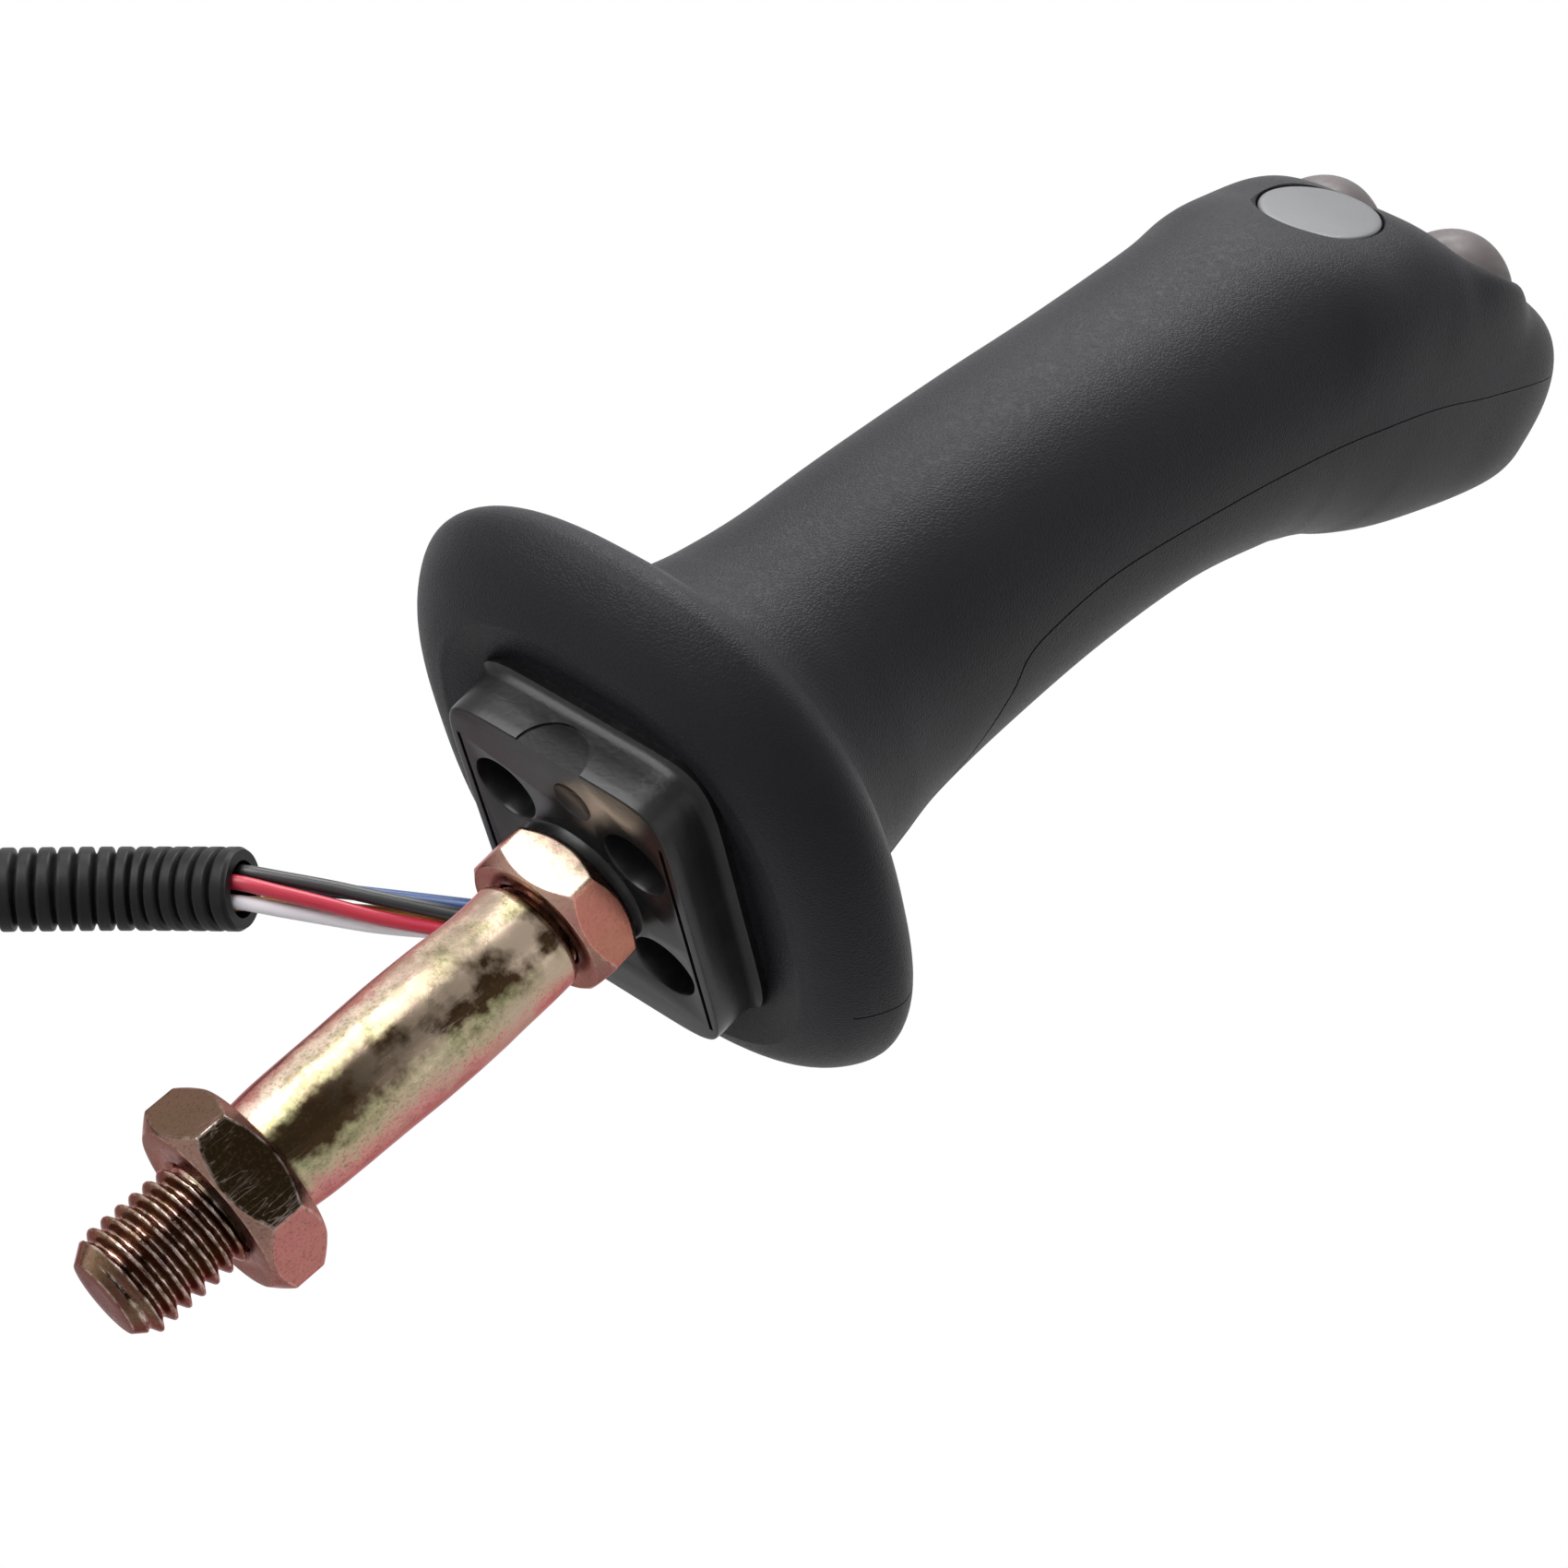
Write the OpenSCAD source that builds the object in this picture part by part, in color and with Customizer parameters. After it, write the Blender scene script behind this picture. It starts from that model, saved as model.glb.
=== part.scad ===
// Hand grip joystick for an excavator: a moulded pistol-style grip with three
// push buttons, a flange, a base plate and a bent steel stem with a threaded stud.
// Millimetres. The origin is on the stud's axis, in the middle of its free thread.
// X is sideways, +Y is the finger side, -Y the thumb side, +Z up the grip.

/* [Grip shell] */
// Half width of the grip across X at the waist
grip_half_w = 18.3; // [16:0.1:20]
// Depth of the grip, front to back, as half of it at the waist
grip_half_d = 20.2; // [19:0.1:23]
// Wall of the grip body and the finger cover
wall = 2.6; // [2:0.1:3.2]
// Gap between the grip body and the finger cover along their seam
seam_gap = 0.3; // [0.1:0.05:0.5]

/* [Flange] */
// Half width of the hand flange across X
flange_half_w = 35.8; // [33:0.2:38]
// Half length of the hand flange along Y
flange_half_l = 42.2; // [39:0.5:46]
// Height of the flange's lowest rim above the plate's lower face
flange_bottom = 6.3; // [5.8:0.1:6.8]

/* [Base plate] */
// Plate width across X
plate_w = 35; // [33:0.5:37]
// Plate length along Y
plate_l = 44.6; // [43:0.2:46]
// Plate thickness
plate_t = 8; // [7.5:0.1:9]
// Hole spacing across X
hole_pitch_x = 20.5; // [20:0.1:21]
// Hole spacing along Y
hole_pitch_y = 19.5; // [19:0.1:20]
// Hole diameter
hole_d = 9; // [8:0.1:9]
// Height of the round boss under the plate that the upper nut seats on
boss_h = 1.8; // [1:0.1:2.5]

/* [Stem and nuts] */
// Diameter of the stud that goes up into the grip
upper_stud_d = 12; // [10:0.5:12]
// Length of the stem from its shoulder to its bend
neck_l = 5.4; // [5:0.2:9]
// Length of the stem from its bend to the lower nut
shank_l = 36.5; // [30:0.5:45]
// Bend of the stem
bend_deg = 5; // [1:0.5:10]
// Diameter of the stem at its thickest
shank_d = 16; // [15.5:0.1:17]
// Diameter of the threaded stud
stud_d = 14; // [12:0.5:14]
// Free length of the stud beyond the lower nut
stud_l = 15; // [12:0.5:25]
// Width across flats of the upper nut
upper_nut_af = 19; // [17:0.5:19]
// Height of the upper nut
upper_nut_h = 7; // [6:0.5:8]
// Width across flats of the lower nut
lower_nut_af = 22; // [21:0.5:24]
// Height of the lower nut
lower_nut_h = 8; // [7:0.5:11]
// Radial gap between a nut and the rod in it
thread_gap = 0.05; // [0.02:0.01:0.1]

/* [Buttons] */
// Diameter of the flat thumb button
thumb_d = 17; // [15:0.5:18]
// Diameter of each domed button
dome_d = 15; // [14:0.2:15.6]
// Height of each dome
dome_h = 4; // [3.2:0.1:4.4]
// Distance between the two domed buttons
dome_pitch = 21.4; // [20.4:0.1:22]
// Gap round each button in its hole
button_gap = 0.25; // [0.15:0.05:0.4]
// Travel of each button
travel = 2; // [1.5:0.1:2.5]
// Thickness of each button's rim
cap_t = 3; // [2.6:0.1:3.4]
// Depth of the switches' top faces below the buttons' faces
switch_depth = 9; // [8.5:0.1:10]
// Diameter of each switch case
switch_d = 14; // [12:0.5:14.5]
// Height of each switch case
switch_h = 8; // [7:0.5:8.5]
// Thickness of the bracket that carries the switches
carrier_t = 2; // [1.5:0.1:2.5]
// Wire diameter of the return springs
spring_wire_d = 0.8; // [0.6:0.1:1]
// Turns in each return spring
spring_turns = 4; // [3:1:5]

/* [Harness] */
// Diameter of one wire
wire_d = 1.7; // [1.4:0.1:1.8]
// Outside diameter of the corrugated conduit
conduit_d = 10.5; // [9.5:0.5:11]
// Length of the connector's housing
plug_l = 27; // [22:1:34]
// Width of the connector's housing
plug_w = 22; // [20:1:26]
// Depth of the connector's housing
plug_t = 15; // [14:0.5:18]

/* [Hidden] */

$fn = 48;
eps = 0.01;

// Stem: the bend lies below the boss, the upper nut and the shoulder.
shoulder_z = -boss_h - upper_nut_h - 0.6;
bend_z = shoulder_z - neck_l;
bend_azimuth = 187.6;
nut_z = -boss_h - upper_nut_h;
// The origin, on the stud's axis, this far below the lower nut
seat_run = 6.4;
// The stud's diameter inside its nut, and the length of its tip's chamfer
stud_core_d = stud_d - 1.6;
tip_chamfer = 2.7;
origin_run = shank_l + lower_nut_h + seat_run;
origin_x = origin_run * sin(bend_deg) * cos(bend_azimuth);
origin_y = origin_run * sin(bend_deg) * sin(bend_azimuth);
origin_z = bend_z - origin_run * cos(bend_deg);

// ---------------------------------------------------------------- helpers

// Moves from the plate's frame, with z = 0 at its lower face, to the part's.
module in_part() { translate([-origin_x, -origin_y, -origin_z]) children(); }

// Places children on the stem's lower axis, with z = 0 at the bend.
module on_shank() {
    translate([0, 0, bend_z])
        rotate([0, 0, bend_azimuth]) rotate([0, -bend_deg, 0]) rotate([0, 0, -bend_azimuth])
            children();
}

function lerp(a, b, t) = a + (b - a) * t;
function unit(v) = v / norm(v);
function signed_pow(v, p) = (v < 0 ? -1 : 1) * pow(abs(v), p);

// Catmull-Rom value between b and c, for numbers or lists of numbers
function smooth(a, b, c, d, t) =
    0.5 * ((2 * b) + (c - a) * t + (2 * a - 5 * b + 4 * c - d) * t * t
           + (3 * b - a - 3 * c + d) * t * t * t);

// A list with steps - 1 smooth values put between each two neighbours
function smoothed(list, steps) = [
    for (i = [0:len(list) - 2]) for (k = [0:steps - 1])
        smooth(list[max(0, i - 1)], list[i], list[i + 1],
               list[min(len(list) - 1, i + 2)], k / steps),
    list[len(list) - 1]
];

// Closes a stack of rings of points, each with the same count, into a solid.
module skin(rings) {
    n = len(rings[0]);
    m = len(rings);
    points = [for (r = rings) each r];
    sides = [for (i = [0:m - 2]) for (j = [0:n - 1])
        let (k = (j + 1) % n, a = i * n + j, b = i * n + k, c = a + n, d = b + n)
            each [[a, c, b], [b, c, d]]];
    ends = [[for (j = [0:n - 1]) j], [for (j = [n - 1:-1:0]) (m - 1) * n + j]];
    polyhedron(points, concat(sides, ends), convexity = 6);
}

// A round tube of radius r swept along points, which stay off the Y direction.
function tube_rings(route, r, sides) = [
    for (i = [0:len(route) - 1])
        let (before = route[max(0, i - 1)], after = route[min(len(route) - 1, i + 1)],
             t = unit(after - before), u = unit(cross([0, 1, 0], t)), v = cross(t, u))
            [for (j = [0:sides - 1])
                let (a = -360 * j / sides) route[i] + r * (cos(a) * u + sin(a) * v)]
];

// ---------------------------------------------------------------- the grip's form

// Ring of the outside: a superellipse in a plane leaning forward by lean.
// A station holds [z, y, half width, half depth in front, behind, lean,
// squareness in front, behind].
RING_SIDES = 44;
function ring(s, inset) = [
    for (j = [0:RING_SIDES - 1])
        let (a = 360 * j / RING_SIDES,
             front = sin(a) > 0,
             p = 2 / (front ? s[6] : s[7]),
             x = (s[2] - inset) * signed_pow(cos(a), p),
             w = ((front ? s[3] : s[4]) - inset) * signed_pow(sin(a), p))
            [x, s[1] + w * cos(s[5]), s[0] - w * sin(s[5])]
];

gw = grip_half_w;
gd = grip_half_d;
fw = flange_half_w;
fl = flange_half_l;
fb = flange_bottom;

FLANGE_STATIONS = [
    [fb,        -0.3, fw - 9,    fl - 9.8,  fl - 9,    0, 2.5, 2.5],
    [fb + 0.8,  -0.3, fw - 6.2,  fl - 7,    fl - 6.2,  0, 2.5, 2.5],
    [fb + 2.6,  -0.3, fw - 3.3,  fl - 4,    fl - 3.3,  0, 2.5, 2.5],
    [fb + 5,    -0.3, fw - 1.2,  fl - 1.8,  fl - 1.2,  0, 2.5, 2.5],
    [fb + 7.6,  -0.3, fw,        fl - 0.6,  fl,        0, 2.5, 2.5],
    [fb + 10,   -0.3, fw - 0.5,  fl - 1,    fl - 0.5,  0, 2.5, 2.5],
    [fb + 12,   -0.2, fw - 2.2,  fl - 2.5,  fl - 2.2,  0, 2.5, 2.5],
    [fb + 13.9,  0,   fw - 5.2,  fl - 5.4,  fl - 5.4,  0, 2.5, 2.5],
    [fb + 15.8,  0.6, fw - 9,    fl - 9.8,  fl - 9.8,  0, 2.4, 2.4],
    [fb + 18,    1.4, fw - 12.2, fl - 14,   fl - 14.2, 0, 2.4, 2.4],
    [fb + 21,    2,   gw + 3.4,  gd + 5.6,  gd + 5.4,  0, 2.3, 2.3],
    [fb + 25.2,  2.6, gw + 2.2,  gd + 4.4,  gd + 4.2,  1, 2.3, 2.3]
];
GRIP_STATIONS = [
    [36,  3.4, gw + 1.4, gd + 3.6, gd + 3.4,  2, 2.3, 2.3],
    [45,  4.5, gw + 0.2, gd + 2.3, gd + 2.3,  4, 2.3, 2.3],
    [60,  6.5, gw,       gd + 1.1, gd + 1.1,  7, 2.3, 2.3],
    [80, 10.3, gw,       gd,       gd,       12, 2.3, 2.3],
    [100, 15.5, gw + 0.7, gd - 0.6, gd - 0.6, 18, 2.3, 2.3],
    [118, 21.6, gw + 1.7, gd + 1.2, gd + 1.2, 26, 2.3, 2.4],
    [126, 24,   gw + 2.3, gd + 2.9, gd + 0.9, 31, 2.4, 2.9],
    [132, 26.7, gw + 2.8, gd + 4,   gd + 0.6, 36, 2.4, 3.2],
    [137.5, 31.7, gw + 3.1, gd + 3.3, gd + 3,  41, 2.4, 3.4],
    [143, 37.1, gw + 3.3, gd + 3,   gd + 2.4, 46, 2.4, 4.2],
    [152, 45.8, gw + 3.3, gd + 1.9, gd - 0.6, 55, 2.4, 4.6],
    [160, 55.4, gw + 2.9, gd - 2.2, gd - 1.6, 62, 2.3, 4.2],
    [165, 63.6, gw + 0.4, gd - 7.4, gd - 4.2, 66, 2.2, 3.3],
    [167.5, 68.6, gw - 3.8, gd - 11.4, gd - 7.9, 68, 2.2, 2.8],
    [169, 71.4, gw - 9.4, gd - 15.4, gd - 12.8, 68, 2.1, 2.3]
];
OUTSIDE = concat(FLANGE_STATIONS, smoothed(GRIP_STATIONS, 2));

floor_z = plate_t;
CAVITY = concat(
    [[floor_z + wall, -0.3, fw - 4, fl - 4, fl - 4, 0, 2.5, 2.5],
     [fb + 9.6,       -0.3, fw - 1, fl - 1.6, fl - 1, 0, 2.5, 2.5],
     [fb + 12.6,       0.2, fw - 6.4, fl - 7, fl - 6.8, 0, 2.5, 2.5],
     [fb + 15.8,       1.2, fw - 12.6, fl - 14.4, fl - 14.6, 0, 2.4, 2.4]],
    [for (i = [0:len(GRIP_STATIONS) - 3]) GRIP_STATIONS[i]]);

// [x, y, z, lean] of each button's face; lean turns its axis towards the thumb.
THUMB = [0, 11.2, 146.3, 65.5];
LEFT = [-dome_pitch / 2, 29, 163.6, 40];
RIGHT = [dome_pitch / 2, 29, 163.6, 40];

// A point of the shell, brought level with the foot of a domed button near it
seat_r = 12;
seat_blend = 4.5;
seat_reach = 7.5;
function eased(t) = let (c = max(0, min(1, t))) c * c * (3 - 2 * c);
function seated(p, b) =
    let (q = p - [b[0], b[1], b[2]], n = [0, -sin(b[3]), cos(b[3])], h = q * n)
        p - h * eased((seat_r - norm(q - h * n)) / seat_blend)
              * eased((seat_reach - abs(h)) / (seat_reach - 1.5)) * n;

module outside() {
    skin([for (s = OUTSIDE) [for (p = ring(s, 0)) seated(seated(p, LEFT), RIGHT)]]);
}
module cavity() { skin([for (s = CAVITY) ring(s, wall)]); }

// The finger cover's side of the seam, as an outline in the YZ plane
SEAM = [[17, 45.5], [16.5, 48], [10.6, 56.3], [7.2, 60], [6.8, 66], [8.6, 78],
        [14.9, 97.5], [20, 112], [26, 127], [33, 141], [41, 153], [50.5, 167.5],
        [58, 177], [68, 190]];
module cover_side(grow) {
    far = 60;
    rotate([90, 0, 90]) translate([0, 0, -far])
        linear_extrude(2 * far)
            polygon(concat([for (p = SEAM) [p[0] - grow, p[1] - grow * 0.6]],
                           [[110, 190], [110, 45.5 - grow * 0.6]]));
}

// ---------------------------------------------------------------- buttons' places

module at_button(b) { translate([b[0], b[1], b[2]]) rotate([b[3], 0, 0]) children(); }

hub_d = 6;
plunger_d = 3.2;
spring_d = 10;
hub_bottom = -5.4;
carrier_top = -switch_depth - switch_h;
carrier_boss_x = 12.6;
carrier_boss_d = 5.4;
carrier_boss_skin = 4.4;
carrier_head_d = 4.6;
pad_t = 1.4;
shelf_top = carrier_top - pad_t;
screw_d = 2.6;

// ---------------------------------------------------------------- housing

// [station y, z, lean] of each screw through the finger cover
COVER_SCREWS = [[7.5, 68, 9], [16.6, 104, 19]];
cover_boss_d = 7.5;
cover_screw_reach = 14;
head_d = 5.6;
head_t = 2;
module at_cover_screw(s) {
    translate([0, s[0], s[1]]) rotate([-90 - s[2], 0, 0]) children();
}

insert_d = 20;
insert_h = 15;
plate_screw_y = plate_l / 2 - 4;
plate_c = -0.2;
plate_foot = 1.5;
PLATE_SCREWS = [plate_c - plate_screw_y, plate_c + plate_screw_y];
plate_screw_d = 3.4;
plate_screw_l = 12;
plate_ledge = 2.8;
grommet_x = -15.5;
grommet_y = 20.5;
grommet_d = 7;
grommet_lip_d = 10;
recess_half_w = fw - 10;
recess_half_l = fl - 10;

module recess() {
    steps = [[fb - 1, 3], [fb, 0.4], [fb + 0.25, -1.8], [fb + 0.7, -3.6], [fb + 1.2, -5],
             [floor_z, -6.2]];
    skin([for (s = steps)
        ring([s[0], -0.3, recess_half_w + s[1], recess_half_l + s[1],
              recess_half_l + s[1], 0, 2.6 - s[1] / 12, 2.6 - s[1] / 12], 0)]);
}

function hole_of(b) = (b == THUMB ? thumb_d : dome_d) + 2 * button_gap;
module button_holes() {
    for (b = [THUMB, LEFT, RIGHT])
        at_button(b) translate([0, 0, -7]) cylinder(d = hole_of(b), h = 14);
}

module grip_body() in_part() color([0.09, 0.09, 0.1]) {
    difference() {
        union() {
            difference() {
                outside();
                cavity();
                recess();
                button_holes();
                cover_side(0);
            }
            translate([0, 0, floor_z]) cylinder(d = insert_d + 8, h = insert_h + 3);
            for (y = PLATE_SCREWS)
                translate([0, y, floor_z]) cylinder(d = 8, h = plate_screw_l);
            for (x = [-carrier_boss_x, carrier_boss_x])
                at_button(THUMB) translate([x, 0, shelf_top])
                    cylinder(d = carrier_boss_d, h = -shelf_top - carrier_boss_skin);
            for (s = COVER_SCREWS) at_cover_screw(s)
                translate([0, 0, 1.4 - gd]) cylinder(d = cover_boss_d, h = gd - 2.4);
        }
        translate([0, 0, floor_z - 1]) cylinder(d = upper_stud_d + 1, h = insert_h + 8);
        translate([0, 0, floor_z + 2]) cylinder(d = insert_d, h = insert_h + 8);
        for (y = PLATE_SCREWS)
            translate([0, y, floor_z - 1]) cylinder(d = plate_screw_d, h = plate_screw_l - 1);
        translate([grommet_x, grommet_y, floor_z - 1])
            cylinder(d = grommet_d, h = wall + 2);
        translate([grommet_x, grommet_y, fb - 1])
            cylinder(d = grommet_lip_d + 1.4, h = floor_z - fb + 1);
        translate([0, 0, fb - 1]) linear_extrude(floor_z - fb + 1)
            plate_outline(plate_foot + 0.2);
        for (x = [-carrier_boss_x, carrier_boss_x])
            at_button(THUMB) translate([x, 0, shelf_top - 1]) cylinder(d = screw_d, h = 10);
        for (s = COVER_SCREWS) at_cover_screw(s)
            translate([0, 0, -cover_screw_reach]) cylinder(d = screw_d, h = cover_screw_reach + 1);
    }
}

module finger_cover() in_part() color([0.1, 0.1, 0.11]) {
    difference() {
        intersection() {
            outside();
            cover_side(-seam_gap);
        }
        difference() {
            cavity();
            for (s = COVER_SCREWS) at_cover_screw(s)
                translate([0, 0, -1 + seam_gap]) cylinder(d = cover_boss_d, h = gd + 6);
        }
        for (s = COVER_SCREWS) at_cover_screw(s) {
            translate([0, 0, -2]) cylinder(d = screw_d + 0.8, h = gd + 10);
            translate([0, 0, gd - 6]) cylinder(d = head_d + 0.8, h = 20);
        }
        button_holes();
    }
}

// A rounded rectangle whose sides bow out a little
module plate_outline(grow) {
    squareness = 7.5;
    sides = 64;
    polygon([for (k = [0:sides - 1]) let (a = 360 * (k + 0.5) / sides)
        [(plate_w / 2 + grow) * signed_pow(cos(a), 2 / squareness),
         plate_c + (plate_l / 2 + grow) * signed_pow(sin(a), 2 / squareness)]]);
}

module mounting_plate() in_part() color([0.05, 0.05, 0.055]) {
    rib = 1.2;
    difference() {
        union() {
            linear_extrude(plate_t) plate_outline(0);
            translate([0, 0, plate_t - 2]) linear_extrude(2) plate_outline(plate_foot);
            translate([0, 0, -boss_h]) cylinder(d = upper_nut_af - 1, h = boss_h + 1);
        }
        translate([0, 0, -boss_h - 1])
            cylinder(d = upper_stud_d + 0.6, h = plate_t + boss_h + 2);
        for (i = [-1, 1], j = [-1, 1])
            translate([i * hole_pitch_x / 2, j * hole_pitch_y / 2, -1])
                cylinder(d = hole_d, h = plate_t + 2);
        for (y = PLATE_SCREWS) {
            translate([0, y, -1]) cylinder(d = 9, h = plate_t - plate_ledge + 1);
            translate([0, y, -1]) cylinder(d = plate_screw_d + 0.6, h = plate_t + 2);
        }
        translate([grommet_x, grommet_y, -1]) cylinder(d = grommet_lip_d + 1.4, h = plate_t + 2);
        for (i = [-1, 1])
            translate([i * (plate_w / 2 - 1.6) - 0.3, plate_c + 2, -eps])
                cube([0.6, plate_l / 2 - 6, rib]);
    }
}

module threaded_insert() in_part() color([0.72, 0.6, 0.32]) {
    grooves = 3;
    difference() {
        translate([0, 0, floor_z + 2]) cylinder(d = insert_d - 0.1, h = insert_h);
        translate([0, 0, floor_z]) cylinder(d = upper_stud_d + 2 * thread_gap, h = insert_h + 4);
        for (i = [1:grooves])
            translate([0, 0, floor_z + 2 + i * insert_h / (grooves + 1)]) rotate_extrude()
                translate([insert_d / 2 - 0.8, -0.8]) square([2, 1.6]);
    }
}

// ---------------------------------------------------------------- stem and nuts

upper_stud_top = floor_z + insert_h;

module stem() in_part() color([0.72, 0.62, 0.4]) {
    shank_r = shank_d / 2;
    top_r = shank_r - 0.4;
    low_r = stud_d / 2 + 0.4;
    core_r = stud_core_d / 2;
    stud_r = stud_d / 2;
    face_z = -shank_l - lower_nut_h;
    knuckle = 0.03;
    tip_z = -shank_l - lower_nut_h - stud_l;
    rotate_extrude() polygon([
        [0, bend_z], [top_r, bend_z], [top_r, shoulder_z - 0.6], [top_r - 0.6, shoulder_z],
        [upper_stud_d / 2 - 0.8, shoulder_z], [upper_stud_d / 2 - 0.8, nut_z - 0.2],
        [upper_stud_d / 2, nut_z + 0.4], [upper_stud_d / 2, upper_stud_top - 1],
        [upper_stud_d / 2 - 1, upper_stud_top], [0, upper_stud_top]]);
    translate([0, 0, bend_z]) sphere(r = top_r + knuckle);
    on_shank() rotate_extrude() polygon([
        [0, 0], [top_r, 0], [top_r, -1.5], [shank_r - 0.1, -shank_l * 0.2],
        [shank_r, -shank_l * 0.4], [shank_r - 0.15, -shank_l * 0.6],
        [low_r + 0.3, -shank_l * 0.85], [low_r, -shank_l + 0.5], [low_r - 0.4, -shank_l],
        [core_r, -shank_l], [core_r, face_z], [stud_r, face_z - 0.5],
        [stud_r, tip_z + tip_chamfer], [stud_r - 2, tip_z], [0, tip_z]]);
}

// A hexagon nut from z = 0 down, with a 30 degree chamfer at each end
module nut(across, height, bore) {
    corner_r = across / sqrt(3);
    chamfer = (corner_r - across / 2 + 0.3) * tan(30);
    difference() {
        intersection() {
            translate([0, 0, -height]) cylinder(r = corner_r, h = height, $fn = 6);
            rotate_extrude() polygon([
                [0, 0], [across / 2 - 0.3, 0], [corner_r, -chamfer],
                [corner_r, -height + chamfer], [across / 2 - 0.3, -height], [0, -height]]);
        }
        translate([0, 0, -height - 1]) cylinder(d = bore, h = height + 2);
        for (k = [0, 1]) translate([0, 0, -k * height]) mirror([0, 0, k])
            rotate_extrude() polygon([[0, 1], [bore / 2 + 1.7, 1], [bore / 2 + 0.7, 0],
                                      [bore / 2, -0.7], [0, -0.7]]);
    }
}

upper_nut_turn = -172.8;
lower_nut_turn = 30.7;

module upper_nut() in_part() color([0.75, 0.6, 0.42])
    translate([0, 0, -boss_h]) rotate([0, 0, upper_nut_turn])
        nut(upper_nut_af, upper_nut_h, upper_stud_d + 2 * thread_gap);

module lower_nut() in_part() color([0.72, 0.6, 0.38])
    on_shank() translate([0, 0, -shank_l]) rotate([0, 0, lower_nut_turn])
        nut(lower_nut_af, lower_nut_h, stud_core_d + 2 * thread_gap);

// ---------------------------------------------------------------- buttons and switches

// A cap with a hub under it, and a skirt that its hole guides
module cap(d, dome) {
    difference() {
        union() {
            translate([0, 0, -cap_t]) cylinder(d = d, h = cap_t);
            if (dome > 0) {
                foot_r = d / 2 - 0.5;
                ball_r = (foot_r * foot_r + dome * dome) / (2 * dome);
                intersection() {
                    translate([0, 0, dome - ball_r]) sphere(r = ball_r);
                    translate([0, 0, -1]) cylinder(d = d - 0.2, h = dome + 2);
                }
            }
        }
        translate([0, 0, -cap_t - 1]) cylinder(d = d - 3, h = 2.2);
    }
    translate([0, 0, hub_bottom]) cylinder(d = hub_d, h = -hub_bottom - 1);
}

module plunger() {
    translate([0, 0, -switch_depth - 1]) cylinder(d = plunger_d, h = switch_depth + 1 + hub_bottom);
}

module return_spring() {
    steps = 12;
    low = -switch_depth + spring_wire_d / 2;
    high = -cap_t + 1.2 - spring_wire_d / 2;
    radius = (spring_d - spring_wire_d) / 2;
    count = spring_turns * steps;
    skin([for (i = [0:count])
        let (a = 360 * i / steps, z = lerp(low, high, i / count),
             out = [cos(a), sin(a), 0])
            [for (j = [0:5]) let (b = -60 * j)
                out * (radius + spring_wire_d / 2 * cos(b)) + [0, 0, z + spring_wire_d / 2 * sin(b)]]]);
}

module switch_case() {
    terminal_pitch = 5;
    difference() {
        translate([0, 0, carrier_top]) cylinder(d = switch_d, h = switch_h);
        translate([0, 0, -switch_depth - travel - 1.6])
            cylinder(d = plunger_d + 0.4, h = travel + 3);
        for (i = [-1, 1])
            translate([i * (switch_d / 2) - 1, -1.5, carrier_top + 2]) cube([2, 3, switch_h]);
    }
    for (x = [-terminal_pitch / 2, terminal_pitch / 2])
        translate([x - 0.4, -1, shelf_top - carrier_t - 2])
            cube([0.8, 2, carrier_t + pad_t + 2.5]);
}

module thumb_button() in_part() color([0.5, 0.51, 0.53]) at_button(THUMB) cap(thumb_d, 0);
module left_button() in_part() color([0.36, 0.31, 0.31]) at_button(LEFT) cap(dome_d, dome_h);
module right_button() in_part() color([0.36, 0.31, 0.31]) at_button(RIGHT) cap(dome_d, dome_h);
module thumb_plunger() in_part() color([0.8, 0.2, 0.15]) at_button(THUMB) plunger();
module left_plunger() in_part() color([0.8, 0.2, 0.15]) at_button(LEFT) plunger();
module right_plunger() in_part() color([0.8, 0.2, 0.15]) at_button(RIGHT) plunger();
module thumb_spring() in_part() color([0.75, 0.76, 0.78]) at_button(THUMB) return_spring();
module left_spring() in_part() color([0.75, 0.76, 0.78]) at_button(LEFT) return_spring();
module right_spring() in_part() color([0.75, 0.76, 0.78]) at_button(RIGHT) return_spring();
module thumb_switch() in_part() color([0.16, 0.16, 0.17]) at_button(THUMB) switch_case();
module left_switch() in_part() color([0.16, 0.16, 0.17]) at_button(LEFT) switch_case();
module right_switch() in_part() color([0.16, 0.16, 0.17]) at_button(RIGHT) switch_case();

// A point [y, z] given in a button's own frame
function beside(b, y, z) =
    [b[1] + y * cos(b[3]) - z * sin(b[3]), b[2] + y * sin(b[3]) + z * cos(b[3])];
function cross_2d(p, q) = p[0] * q[1] - p[1] * q[0];
// Where the faces at height z in two buttons' frames meet
function fold(b, c, z) =
    let (p = beside(b, 0, z), q = beside(c, 0, z),
         db = [cos(b[3]), sin(b[3])], dc = [cos(c[3]), sin(c[3])])
        p + db * cross_2d(q - p, dc) / cross_2d(db, dc);

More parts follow.
